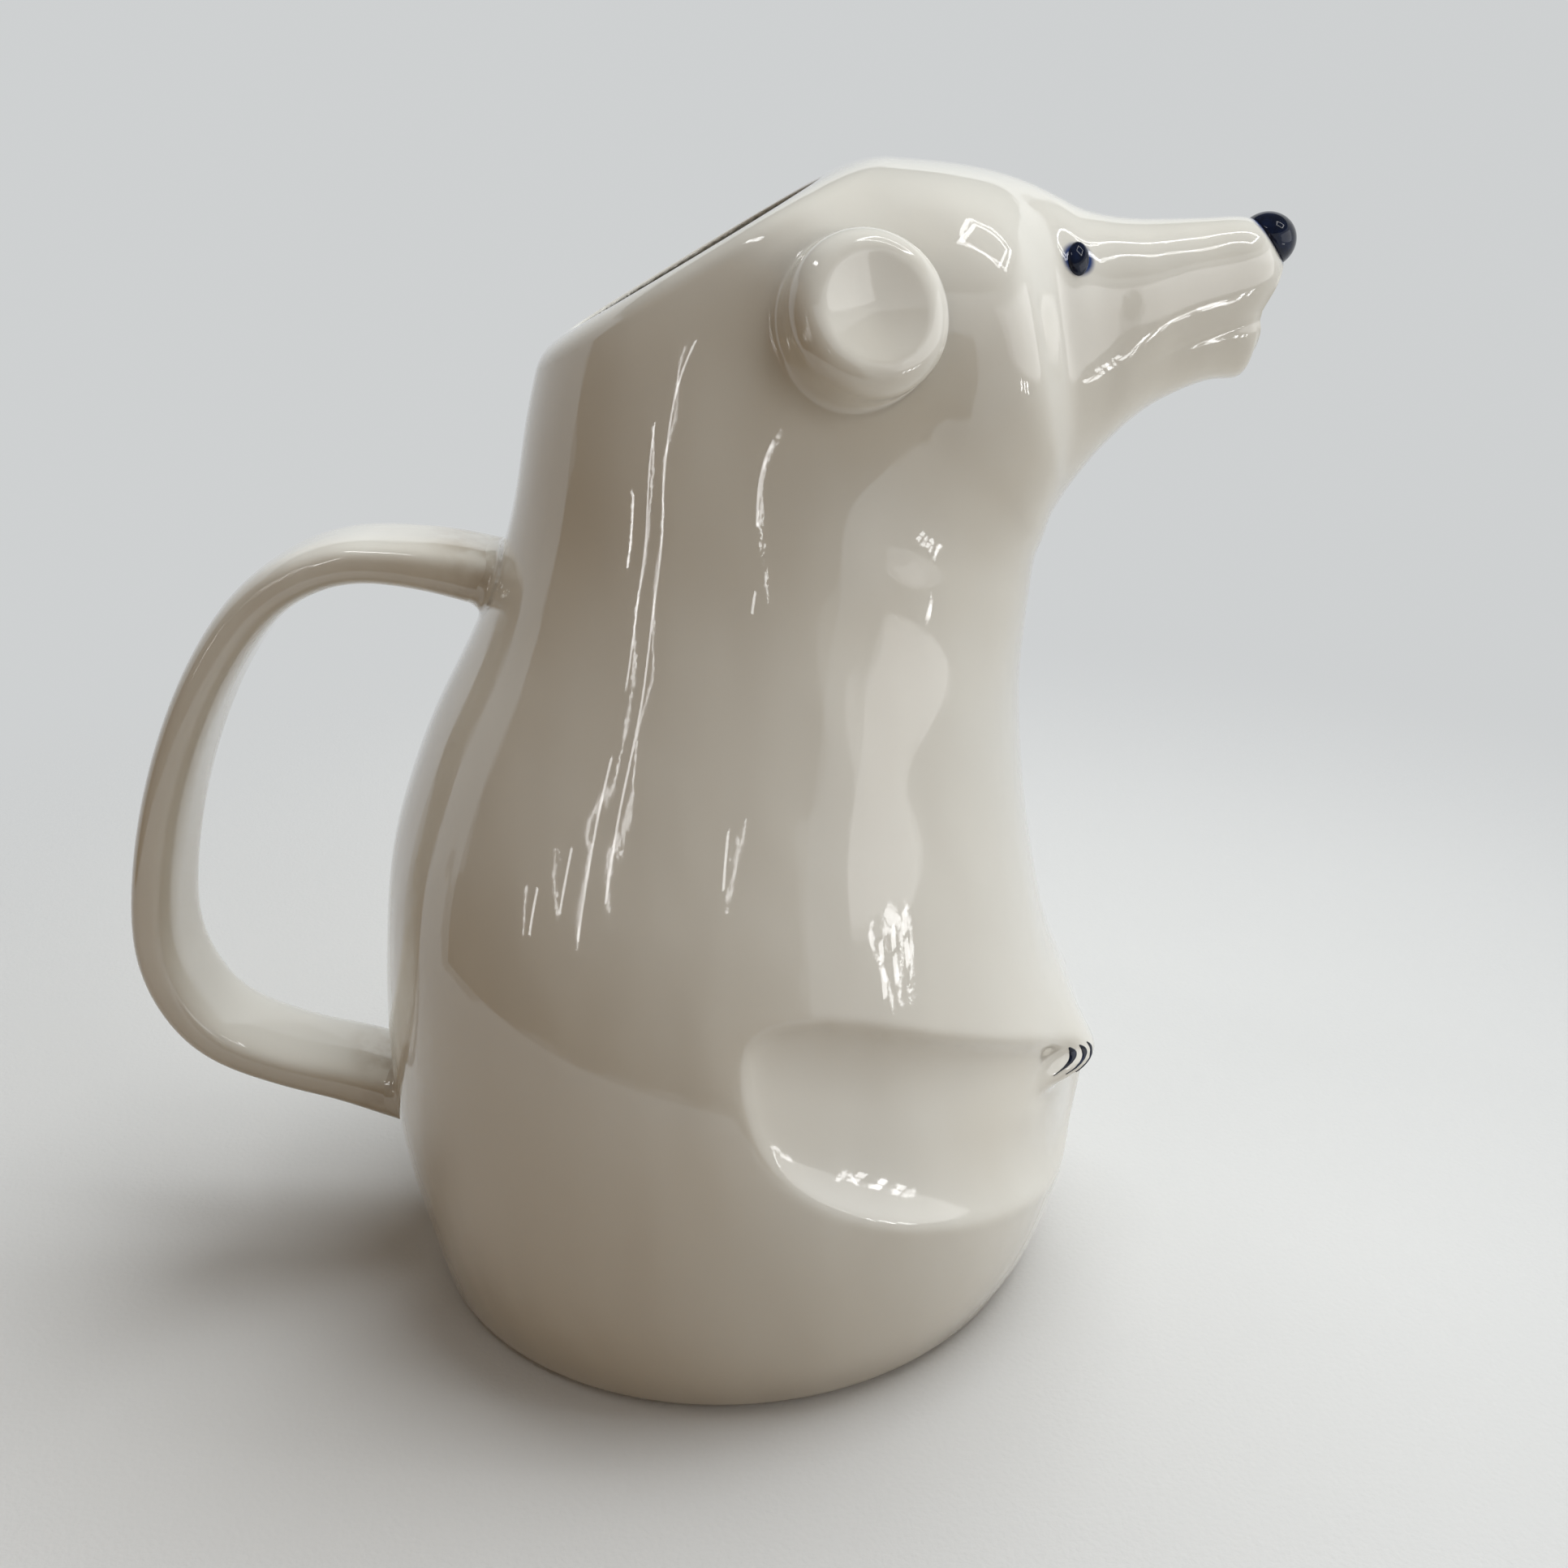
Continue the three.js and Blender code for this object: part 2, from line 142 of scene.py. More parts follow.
# Ears: round buttons with a dish, a roll round it and a foot that flares more at the bottom
EAR_X = 27.0
EAR_Z = COLLAR_HEIGHT + 58.8
EAR_RADIUS = 14.0
EAR_ROLL = 4.6
EAR_DISH = 1.25
EAR_STAND = 6.0
EAR_FLARE = 5.0
EAR_LOW_FLARE = 10.5
EAR_EDGE_SINK = 0.03
EAR_BACK_SINK = 0.8
EAR_FORWARD = math.radians(19)
EAR_UP = math.radians(20)
EAR_DISH_LEAN = math.radians(12)
EAR_SHADE_REACH = 2.2

# Face
NOSE_CENTRE = np.array([102.6, 0, COLLAR_HEIGHT + 68.5])
NOSE_RADII = np.array([5.2, 6.2, 5.0])
NOSE_BACK_TOP = np.array([98.8, 0, COLLAR_HEIGHT + 72.8])
NOSE_BACK_LOW = np.array([105.8, 0, COLLAR_HEIGHT + 64.2])
NOSE_TUCK_SHARE = 0.12
NOSE_TUCK_DEPTH = 0.6
EYE_X = 65.0
EYE_Z = COLLAR_HEIGHT + 66.5
EYE_HALF_WIDTH = 1.95
EYE_HALF_HEIGHT = 2.75
EYE_PROUD = 0.9
EYE_LEAST_PROUD = 0.02
EYE_SINK = 0.4

# Claws
CLAW_COUNT = 3
CLAW_TURN = math.radians(17.9)
CLAW_STEP = math.radians(1.9)
CLAW_TOP = 55.6
CLAW_LENGTH = 4.2
CLAW_SLANT = math.radians(4.2)
CLAW_BOW = 0.5
CLAW_LIFT = 0.5
CLAW_HALF = 0.85
CLAW_PROUD = 0.18
CLAW_TIP_SHARE = 0.2
CLAW_LEAST_PROUD = 0.01
CLAW_SINK = 0.3

# Handle
HANDLE_WIDTH = 24.0
HANDLE_THICKNESS = 9.5
HANDLE_ROOT_THICKNESS = 11.5
HANDLE_TOP_HEIGHT = 150.0
HANDLE_LOW_HEIGHT = 34.0
HANDLE_EMBED = 8.0
HANDLE_BENDS = [
    (-56, 153), (-73, 154), (-88.5, 147), (-101, 132), (-111.5, 111),
    (-118.5, 88), (-120.5, 67), (-112.5, 50), (-96.5, 42), (-84, 38.5),
]

# Beads of slip round the handle's roots: how far they reach, and how deep their edges and backs lie
LUTE_REACH = 5.0
LUTE_FLARE = 4.0
LUTE_EDGE_SINK = 0.04
LUTE_BACK_SINK = 0.6
LUTE_ROOT_SINK = 0.8
LUTE_ROOT_INSET = 0.4
LUTE_SHADE_REACH = 1.0

# Fineness of the meshes
COLUMNS = 320
ROW_STEP = 1.0
INNER_ROW_SKIP = 3

# The foot's middle lies on this x of the frame
FOOT_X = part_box("nose_tip")[1][0] / MM - (NOSE_CENTRE[0] + NOSE_RADII[0])


def smoothstep(value, low, high):
    share = np.clip((value - low) / (high - low), 0, 1)
    return share * share * (3 - 2 * share)


def signed_power(value, power):
    return np.sign(value) * np.abs(value) ** power


def unit(vectors):
    return vectors / np.linalg.norm(vectors, axis=-1, keepdims=True)


def curve_through(points, places):
    """Points of a smooth curve through the given ones, with places counted from the first one."""
    given = np.asarray(points, float)
    padded = np.vstack([2 * given[0] - given[1], given, 2 * given[-1] - given[-2]])
    span = np.clip(np.floor(places).astype(int), 0, len(given) - 2)
    t = (places - span)[:, None]
    a, b, c, d = (padded[span + i] for i in range(4))
    return b + 0.5 * t * (c - a + t * (2 * a - 5 * b + 4 * c - d + t * (3 * (b - c) + d - a)))


def blurred(values, sigma):
    """A table smoothed down its rows, with its two ends kept in place."""
    reach = int(4 * sigma)
    steps = np.arange(-reach, reach + 1)
    kernel = np.exp(-0.5 * (steps / sigma) ** 2)
    kernel /= kernel.sum()
    before = 2 * values[0] - values[reach:0:-1]
    after = 2 * values[-1] - values[-2:-reach - 2:-1]
    padded = np.vstack([before, values, after])
    return np.stack([np.convolve(column, kernel, "valid") for column in padded.T], axis=1)


def evenly_spaced(steps, *tables):
    """Tables taken again at about equal steps, from the lengths of the steps between their rows."""
    reached = np.concatenate([[0], np.cumsum(steps)])
    wanted = np.linspace(0, reached[-1], int(reached[-1] / ROW_STEP))
    taken = []
    for table in tables:
        taken.append(np.stack([np.interp(wanted, reached, column) for column in table.T], axis=1))
    return taken


def bezier(start, knee_start, knee_end, end, share):
    """The curve that leaves its start towards one knee and comes to its end from the other."""
    return (
        (1 - share) ** 3 * start
        + 3 * (1 - share) ** 2 * share * knee_start
        + 3 * (1 - share) * share**2 * knee_end
        + share**3 * end
    )


def placed_mesh(name, points, faces):
    """A mesh in the frame, from points in millimetres round the foot's middle."""
    mesh = bpy.data.meshes.new(name)
    placed = (np.asarray(points, float) + [FOOT_X, 0, 0]) * MM
    mesh.from_pydata(placed.tolist(), [], faces)
    return mesh


def mesh_piece(name, points, faces, material):
    return finished_piece(name, placed_mesh(name, points, faces), material)


def finished_piece(name, mesh, material):
    """A smooth object with its faces turned outwards."""
    work = bmesh.new()
    work.from_mesh(mesh)
    bmesh.ops.recalc_face_normals(work, faces=work.faces)
    work.to_mesh(mesh)
    work.free()
    mesh.shade_smooth()
    mesh.materials.append(material)
    piece = bpy.data.objects.new(name, mesh)
    bpy.context.scene.collection.objects.link(piece)
    return piece


def belongs(piece, slot, *nodes):
    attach(piece, "root")
    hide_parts(*nodes)


def ring_faces(rows, columns, closed_rows=False):
    """Quads of a grid of rings, and of a closed tube if the last ring joins the first."""
    last = rows if closed_rows else rows - 1
    faces = []
    for row in range(last):
        low, high = row * columns, (row + 1) % rows * columns
        for column in range(columns):
            beside = (column + 1) % columns
            faces.append((low + column, low + beside, high + beside, high + column))
    return faces


def capped_grid(rows):
    """Points and faces of rings that are closed at both ends by a point in the middle of the ring."""
    rows = np.asarray(rows)
    count, columns = rows.shape[:2]
    points = np.vstack([rows.reshape(-1, 3), rows[0].mean(0), rows[-1].mean(0)])
    faces = ring_faces(count, columns)
    first, last, end_ring = count * columns, count * columns + 1, (count - 1) * columns
    for column in range(columns):
        beside = (column + 1) % columns
        faces.append((first, beside, column))
        faces.append((last, end_ring + column, end_ring + beside))
    return points, faces


def section_table():
    """Rails and widths of the casting at about equal steps along the skin, and each row's section."""
    per_section, soften = 24, 0.2
    lift = np.array([0, COLLAR_HEIGHT, 0, COLLAR_HEIGHT, 0, 0, 0])
    stations = [[*back, *front, *shape] for back, front, *shape in TORSO]
    stations += [np.array([*back, *front, *shape]) + lift for back, front, *shape in HEAD]
    places = np.arange((len(stations) - 1) * per_section + 1) / per_section
    fine = blurred(curve_through(stations, places), soften * per_section)
    moves = np.diff(fine, axis=0)
    steps = np.maximum(np.hypot(moves[:, 0], moves[:, 1]), np.hypot(moves[:, 2], moves[:, 3]))
    rows, sections = evenly_spaced(steps, fine, places[:, None])
    return rows, sections[:, 0]


TURNS = 2 * np.pi * np.arange(COLUMNS) / COLUMNS


def plain_skin(table):
    """The casting's outside as a grid of points, without its relief."""
    back_x, back_z, front_x, front_z, half, square, throat = (column[:, None] for column in table.T)
    power = 2 / square
    forward = signed_power(np.cos(TURNS), power)
    sideways = signed_power(np.sin(TURNS), power)
    x = (back_x + front_x) / 2 + (front_x - back_x) / 2 * forward
    z = (back_z + front_z) / 2 + (front_z - back_z) / 2 * forward
    draw_in = 1 + (throat - 1) * ((1 + np.cos(TURNS)) / 2) ** 2
    return np.stack([x, -half * draw_in * sideways, z], axis=2)


def grid_normals(grid):
    around = np.roll(grid, -1, axis=1) - np.roll(grid, 1, axis=1)
    along = np.gradient(grid, axis=0)
    return unit(np.cross(along, around))


def grid_softened(values, grid, sigma):
    """A relief on the grid, smoothed over a distance of about sigma along the skin."""
    row_size = np.linalg.norm(np.gradient(grid, axis=0), axis=2)
    column_size = np.linalg.norm(np.roll(grid, -1, axis=1) - grid, axis=2) + 1e-6
    rate, most = 0.18, 1.2
    row_weight = np.clip(1 / row_size**2, 0, most)
    column_weight = np.clip(1 / column_size**2, 0, most)
    for _ in range(int(sigma**2 / (2 * rate))):
        padded = np.pad(values, ((1, 1), (0, 0)), "edge")
        bend_rows = padded[2:] + padded[:-2] - 2 * values
        bend_columns = np.roll(values, 1, axis=1) + np.roll(values, -1, axis=1) - 2 * values
        values = values + rate * (row_weight * bend_rows + column_weight * bend_columns)
    return values


def scoop_depth(grid, turn):
    """Depth of one scoop, steep under the forearm and gentle at its lower lip."""
    height = grid[:, :, 2]
    to_back = (turn - SCOOP_TURN) / SCOOP_SWEEP
    half = SCOOP_FRONT_HALF + (SCOOP_BACK_HALF - SCOOP_FRONT_HALF) * (1 + to_back) / 2
    up = (height - SCOOP_HEIGHT - SCOOP_RISE * to_back) / np.maximum(half, 1)
    share = (np.abs(to_back) ** SCOOP_SQUARE + np.abs(up) ** SCOOP_SQUARE) ** (1 / SCOOP_SQUARE)
    lean = (1 + up / np.maximum(np.hypot(to_back, up), 1e-6)) / 2
    edge = SCOOP_LOW_EDGE + (SCOOP_UNDER_ARM_EDGE - SCOOP_LOW_EDGE) * lean
    return SCOOP_DEPTH * np.clip(1 - share**SCOOP_FULLNESS, 0, 1) ** edge


def paw_relief(grid, turn):
    """How far one paw stands out, and where it keeps the scoop away: 0 on the paw, 1 clear of it."""
    above = grid[:, :, 2] - PAW_HEIGHT
    aside = (np.mod(turn + np.pi, 2 * np.pi) - np.pi - PAW_TURN) / PAW_SPREAD
    rise = np.clip(1 - above / PAW_ABOVE, 0, 1) ** 2
    drop = np.clip(1 - (above / PAW_BELOW) ** 2, 0, 1) ** 2
    proud = PAW_PROUD * np.clip(1 - aside**2, 0, 1) ** 2 * np.where(above > 0, rise, drop)
    return proud, smoothstep(np.hypot(aside, above / PAW_BELOW), *PAW_CLEAR)


def segment_distance(x, z, start, end):
    """Distance from points to a line piece, and how far they lie above it."""
    along = np.subtract(end, start)
    length = np.hypot(*along)
    share = np.clip(((x - start[0]) * along[0] + (z - start[1]) * along[1]) / length**2, 0, 1)
    off_x = x - start[0] - share * along[0]
    off_z = z - start[1] - share * along[1]
    return np.hypot(off_x, off_z), off_z


def mouth_relief(grid):
    """The groove between the lips and the chin set in below it."""
    x, z = grid[:, :, 0], grid[:, :, 2]
    count = 16
    line = curve_through(MOUTH_LINE, np.linspace(0, len(MOUTH_LINE) - 1, count))
    pairs = [segment_distance(x, z, a, b) for a, b in zip(line, line[1:])]
    distances = np.stack([pair[0] for pair in pairs])
    nearest = distances.argmin(0)[None]
    distance = np.take_along_axis(distances, nearest, 0)[0]
    above = np.take_along_axis(np.stack([pair[1] for pair in pairs]), nearest, 0)[0]
    fade = smoothstep(x, *MOUTH_CORNER_FADE)
    width = np.where(above > 0, MOUTH_UPPER_WIDTH, MOUTH_LOWER_WIDTH)
    groove = MOUTH_DEPTH * np.exp(-((distance / width) ** 2))
    chin = CHIN_SET_IN * smoothstep(-above, 0, CHIN_STEP) * (1 - smoothstep(-above, *CHIN_RETURN))
    return (groove + chin) * fade * (z > SNOUT_FLOOR)


def valley_relief(grid, along):
    """The valley behind the eye, from the brow down to the throat."""
    across = np.exp(-(((along - VALLEY_SECTION) / VALLEY_WIDTH) ** 2))
    height = grid[:, :, 2] - COLLAR_HEIGHT
    fade = smoothstep(height, *VALLEY_START) * (1 - smoothstep(height, *VALLEY_END))
    return VALLEY_DEPTH * across[:, None] * fade


def lip_set_back(grid):
    """How far the lips stand back along X: the upper one slants to the notch, the lower one returns."""
    x, above = grid[:, :, 0], grid[:, :, 2] - MOUTH_LINE[0][1]
    upper = np.clip(1 - above / LIP_SLANT_HEIGHT, 0, 1)
    lower = (1 + np.exp(-((np.minimum(above, 0) / LIP_RETURN_HEIGHT) ** 2))) / 2
    return LIP_SET_BACK * upper * lower * smoothstep(x, *LIP_FADE)


def relief_of(grid, along):
    """How deep the finished skin lies below the plain one."""
    turn = np.broadcast_to(TURNS, grid.shape[:2])
    dents = np.zeros(grid.shape[:2])
    for seen in (turn, 2 * np.pi - turn):
        proud, clear = paw_relief(grid, seen)
        dents += scoop_depth(grid, seen) * clear - proud
    face = mouth_relief(grid) + valley_relief(grid, along)
    return grid_softened(dents, grid, SCOOP_SOFTEN) + grid_softened(face, grid, FACE_SOFTEN)


SECTIONS, ALONG = section_table()
PLAIN = plain_skin(SECTIONS)
PLAIN[:, :, 0] -= lip_set_back(PLAIN)
PLAIN_NORMALS = grid_normals(PLAIN)
RELIEF = relief_of(PLAIN, ALONG)
SKIN = PLAIN - PLAIN_NORMALS * RELIEF[:, :, None]
SKIN_NORMALS = grid_normals(SKIN)
NAPE_ROWS = int(np.argmax(SKIN[:, COLUMNS // 2, 2] > RIM_BACK[1] - 10))
SKIN_TREE = BVHTree.FromPolygons(SKIN.reshape(-1, 3).tolist(), ring_faces(len(SKIN), COLUMNS))


def skin_at(turn, height):
    """The point of the torso's or nape's skin at a turn and a height, with its outward normal."""
    column = (turn / (2 * np.pi) * COLUMNS) % COLUMNS
    low = int(column)
    share = column - low
    points = []
    for index in (low, (low + 1) % COLUMNS):
        strip = SKIN[:NAPE_ROWS, index]
        points.append([np.interp(height, strip[:, 2], strip[:, axis]) for axis in range(3)])
    point = (1 - share) * np.array(points[0]) + share * np.array(points[1])
    _, normal, _, _ = SKIN_TREE.find_nearest(Vector(point))
    outward = np.array(normal) * np.sign(np.dot(normal, point - [0, 0, height]))
    return point, outward


def right_side_at(x, z):
    """The point of the bear's right side, with its normal, at a place seen square from that side."""
    return skin_hit([x, -100, z], [0, 1, 0])


def skin_hit(start, direction):
    """Where a straight line first meets the skin, with the normal that faces the line's start."""
    place, normal, _, _ = SKIN_TREE.ray_cast(Vector(start), Vector(direction))
    normal = np.array(normal)
    return np.array(place), -normal * np.sign(np.dot(normal, direction))


def fillet(top, into, foot, normal, steps):
    """A concave curve from a wall's point down onto the skin, tangent to both."""
    out = foot - top
    out = unit(out - np.dot(out, normal) * normal)
    reach = np.linalg.norm(foot - top)
    fullness = 0.55
    knee_top = top + fullness * reach * np.asarray(into)
    knee_foot = foot - fullness * reach * out
    return bezier(top, knee_top, knee_foot, foot, np.linspace(0, 1, steps)[:, None])


def shade_into(piece, reach, *surfaces):
    """Turn a piece's shading normals to those of the surfaces that it comes down onto."""
    mesh = piece.data
    turned = []
    for corner, own in zip(mesh.vertices, mesh.vertex_normals):
        place = corner.co / MM - Vector((FOOT_X, 0, 0))
        normal = own.vector.copy()
        for tree, normals in surfaces:
            _, _, index, distance = tree.find_nearest(place)
            share = float(smoothstep(distance, 0, reach))
            normal = normal * share + Vector(normals.reshape(-1, 3)[index]) * (1 - share)
        turned.append(normal.normalized())
    mesh.normals_split_custom_set_from_vertices(turned)


# Casting


def foot_rows():
    """Rings from under the middle of the foot out over its flat ring and round its edge."""
    recess = FOOT_RECESS_RADIUS / FOOT_RADIUS
    profile = [
        (0.35, FOOT_RECESS_DEPTH),
        (recess - 0.02, FOOT_RECESS_DEPTH),
        (recess - 0.004, FOOT_RECESS_DEPTH - 0.3),
        (recess, 0.5),
        (recess + 0.008, 0),
        (1 - 1.2 * FOOT_EDGE / FOOT_RADIUS, 0),
    ]
    return [SKIN[0] * [share, share, 0] + [0, 0, height] for share, height in profile]


def rounded_foot(rows):
    """The lowest part of the skin, drawn in to a rounded edge on the floor."""
    height = rows[:, :, 2:3]
    below = np.clip(1 - height / FOOT_EDGE, 0, 1)
    draw_in = FOOT_EDGE * (1 - np.sqrt(np.clip(1 - below**2, 0, 1)))
    radial = rows * [1, 1, 0]
    return rows - unit(radial) * draw_in


def lip_rows(outer, inner):
    """Rings that round the lips over from the outside to the inside."""
    steps, fullness = 9, 0.35
    middle, half = (outer + inner) / 2, (outer - inner) / 2
    ahead = unit(np.cross(outer[COLUMNS // 4] - outer[0], outer[COLUMNS // 2] - outer[0]))
    ahead = ahead * np.sign(ahead[0])
    bulge = np.linalg.norm(half, axis=1, keepdims=True) * ahead
    angles = np.linspace(0, np.pi, steps)[1:-1]
    return [middle + half * math.cos(angle) + fullness * bulge * math.sin(angle) for angle in angles]


def inner_rows():
    """The cavity's wall from the lips back to the floor, and the floor."""
    lips_from, soften, corner_height = 0.85, 5, FLOOR_HEIGHT + 3
    along = np.linspace(0, 1, len(PLAIN))[:, None]
    wall = WALL + (LIP_WALL - WALL) * smoothstep(along, lips_from, 1.0)
    behind = grid_softened(RELIEF, PLAIN, soften)
    inside = PLAIN - PLAIN_NORMALS * (wall + behind)[:, :, None]
    low = int(np.argmax(inside[:, COLUMNS // 2, 2] > corner_height))
    wall_rows = list(inside[:low:-INNER_ROW_SKIP])
    corner = wall_rows[-1]
    floor = [(0.985, 1.2), (0.95, 0.3), (0.9, 0), (0.4, 0)]
    floor_rows = [corner * [share, share, 0] + [0, 0, FLOOR_HEIGHT + lift] for share, lift in floor]
    return wall_rows + floor_rows


def rim_plane(drop):
    """A point of the rim's slanted plane, lowered by drop, and its upward normal, in metres."""
    slope = np.subtract(RIM_FRONT, RIM_BACK)
    normal = unit(np.array([-slope[1], 0, slope[0]]))
    middle = np.array([(RIM_BACK[0] + RIM_FRONT[0]) / 2, 0, (RIM_BACK[1] + RIM_FRONT[1]) / 2])
    return Vector((middle - drop * normal + [FOOT_X, 0, 0]) * MM), Vector(normal)


def cut_open(work, faces, drop):
    """Cut faces off at the rim's plane, and give the cut's points in order, with their angles."""
    weld, on_plane = 0.25 * MM, 0.01 * MM
    point, normal = rim_plane(drop)
    edges = dict.fromkeys(edge for face in faces for edge in face.edges)
    corners = dict.fromkeys(corner for face in faces for corner in face.verts)
    bmesh.ops.bisect_plane(
        work,
        geom=[*faces, *edges, *corners],
        dist=0.001 * MM,
        plane_co=point,
        plane_no=normal,
        clear_outer=True,
    )

    def on_cut():
        return [v for v in work.verts if v.is_boundary and abs((v.co - point).dot(normal)) < on_plane]

    bmesh.ops.remove_doubles(work, verts=on_cut(), dist=weld)
    loop = on_cut()
    across = Vector((normal.z, 0, -normal.x))
    middle = sum((v.co for v in loop), Vector()) / len(loop)

    def angle(corner):
        off = corner.co - middle
        return math.atan2(off.y, off.dot(across))

    loop.sort(key=angle)
    return loop, [angle(v) for v in loop]


def rounded_rim(work, outer, outer_angles, inner, inner_angles):
    """Close the gap between the two cut skins with a rounded rim."""
    _, up = rim_plane(0)
    around = np.array(inner_angles)
    wrapped = np.concatenate([around - 2 * np.pi, around, around + 2 * np.pi])
    inner_points = np.tile(np.array([v.co for v in inner]), (3, 1))
    inner_normals = np.tile(np.array([v.normal for v in inner]), (3, 1))

    def inner_at(values, angle):
        return np.array([np.interp(angle, wrapped, values[:, axis]) for axis in range(3)])

    up = np.array(up)
    steps, least_rise = 12, 0.5
    rows = [list(outer)] + [[] for _ in range(steps)]
    for corner, angle in zip(outer, outer_angles):
        start, end = np.array(corner.co), inner_at(inner_points, angle)
        rise_start = unit(up - np.dot(up, corner.normal) * np.array(corner.normal))
        end_normal = unit(inner_at(inner_normals, angle))
        rise_end = unit(up - np.dot(up, end_normal) * end_normal)
        knee_start = start + rise_start * RIM_OUTER_DROP * MM / max(np.dot(rise_start, up), least_rise)
        knee_end = end + rise_end * RIM_INNER_DROP * MM / max(np.dot(rise_end, up), least_rise)
        for step in range(1, steps + 1):
            place = bezier(start, knee_start, knee_end, end, step / steps)
            rows[step].append(work.verts.new(place))
    for low, high in zip(rows, rows[1:]):
        for i in range(len(low)):
            j = (i + 1) % len(low)
            work.faces.new((low[i], low[j], high[j], high[i]))
    stitch(work, rows[-1], outer_angles, inner, inner_angles)


def stitch(work, first, first_angles, second, second_angles):
    """Triangles between two loops that run along each other but have other points."""
    i = j = 0
    count, other = len(first), len(second)
    while i < count or j < other:
        next_first = first_angles[i + 1] if i + 1 < count else first_angles[0] + 2 * math.pi
        next_second = second_angles[j + 1] if j + 1 < other else second_angles[0] + 2 * math.pi
        a, b = first[i % count], second[j % other]
        if j >= other or (i < count and next_first <= next_second):
            work.faces.new((a, first[(i + 1) % count], b))
            i += 1
        else:
            work.faces.new((a, second[(j + 1) % other], b))
            j += 1


def casting(material):
    """The hollow bear in one skin: foot, outside, lips, cavity and floor, cut open at its rim."""
    lip_rows_kept, floor_rows_kept = 2, 6
    inner = inner_rows()
    outer = list(rounded_foot(SKIN))
    foot = foot_rows()
    rows = foot + outer + lip_rows(outer[-1], inner[0]) + inner
    points, faces = capped_grid(rows)
    mesh = placed_mesh("body_casting_glazed", points, faces)
    work = bmesh.new()
    work.from_mesh(mesh)
    bmesh.ops.recalc_face_normals(work, faces=work.faces)
    work.faces.ensure_lookup_table()
    first_outer = len(foot) * COLUMNS
    first_inner = (len(rows) - len(inner)) * COLUMNS
    outside = list(work.faces)[first_outer:first_outer + (len(outer) - lip_rows_kept) * COLUMNS]
    inside = list(work.faces)[first_inner:first_inner + (len(inner) - floor_rows_kept) * COLUMNS]
    inner_loop, inner_angles = cut_open(work, inside, RIM_INNER_DROP)
    outer_loop, outer_angles = cut_open(work, outside, RIM_OUTER_DROP)
    work.normal_update()
    rounded_rim(work, outer_loop, outer_angles, inner_loop, inner_angles)
    work.to_mesh(mesh)
    work.free()
    return finished_piece("body_casting_glazed", mesh, material)


# Handle


def handle_line():
    """The strap's centre line, from inside the neck over its bends to inside the belly."""
    top, _ = skin_at(math.pi, HANDLE_TOP_HEIGHT)
    low, _ = skin_at(math.pi, HANDLE_LOW_HEIGHT)
    bends = [np.array([x, 0, z]) for x, z in HANDLE_BENDS]
    top_end = top + HANDLE_EMBED * unit(top - bends[0])
    low_end = low + HANDLE_EMBED * unit(low - bends[-1])
    points = [top_end, top, *bends, low, low_end]
    samples, soften = 400, 8
    fine = blurred(curve_through(points, np.linspace(0, len(points) - 1, samples)), soften)
    steps = np.linalg.norm(np.diff(fine, axis=0), axis=1)
    return evenly_spaced(steps, fine)[0]


HANDLE_SIDES = 72
HANDLE_LINE = handle_line()


def strap_rows():
    """Rings of the strap: rectangles with well rounded edges, square to its centre line."""
    tangents = unit(np.gradient(HANDLE_LINE, axis=0))
    outward = np.cross([0, 1, 0], tangents)
    angles = 2 * np.pi * np.arange(HANDLE_SIDES) / HANDLE_SIDES
    square, root = 3, (0.03, 0.16)
    deep = signed_power(np.cos(angles), 2 / square)
    wide = signed_power(np.sin(angles), 2 / square)
    share = np.linspace(0, 1, len(HANDLE_LINE))
    from_root = np.minimum(share, 1 - share)
    swell = 1 - smoothstep(from_root, *root)
    thickness = HANDLE_THICKNESS + (HANDLE_ROOT_THICKNESS - HANDLE_THICKNESS) * swell
    rows = HANDLE_LINE[:, None] + outward[:, None] * (thickness[:, None] / 2 * deep)[:, :, None]
    rows[:, :, 1] += HANDLE_WIDTH / 2 * wide
    return rows


STRAP = strap_rows()
STRAP_NORMALS = -grid_normals(STRAP)
STRAP_TREE = BVHTree.FromPolygons(STRAP.reshape(-1, 3).tolist(), ring_faces(len(STRAP), HANDLE_SIDES))


def handle(material):
    points, faces = capped_grid(STRAP)
    return mesh_piece("handle_glazed", points, faces, material)


def lute(name, material, at_top):
    """The bead of slip that fills the corner between a root of the handle and the skin."""
    clear, steps = 12, 16
    rows = STRAP if at_top else STRAP[::-1]
    line = HANDLE_LINE if at_top else HANDLE_LINE[::-1]
    bead = []
    start = int((HANDLE_EMBED + LUTE_REACH) / ROW_STEP)
    into = unit(line[start - 3] - line[start + 3])
    for side in range(HANDLE_SIDES):
        wall = rows[start, side]
        off = unit(wall - line[start])
        foot, normal = skin_hit(wall + LUTE_FLARE * off - clear * into, into)
        root, _ = skin_hit(wall - clear * into - LUTE_ROOT_INSET * off, into)
        edge = wall - LUTE_EDGE_SINK * off
        corner = fillet(edge, into, foot - LUTE_EDGE_SINK * normal, normal, steps)
        back = [
            foot - LUTE_BACK_SINK * normal,
            root - LUTE_ROOT_SINK * normal,
            wall - LUTE_BACK_SINK * off,
        ]
        bead += [*corner, *back]
    faces = ring_faces(HANDLE_SIDES, len(bead) // HANDLE_SIDES, closed_rows=True)
    piece = mesh_piece(name, bead, faces, material)
    shade_into(piece, LUTE_SHADE_REACH, (SKIN_TREE, SKIN_NORMALS), (STRAP_TREE, STRAP_NORMALS))
    return piece


# Ears


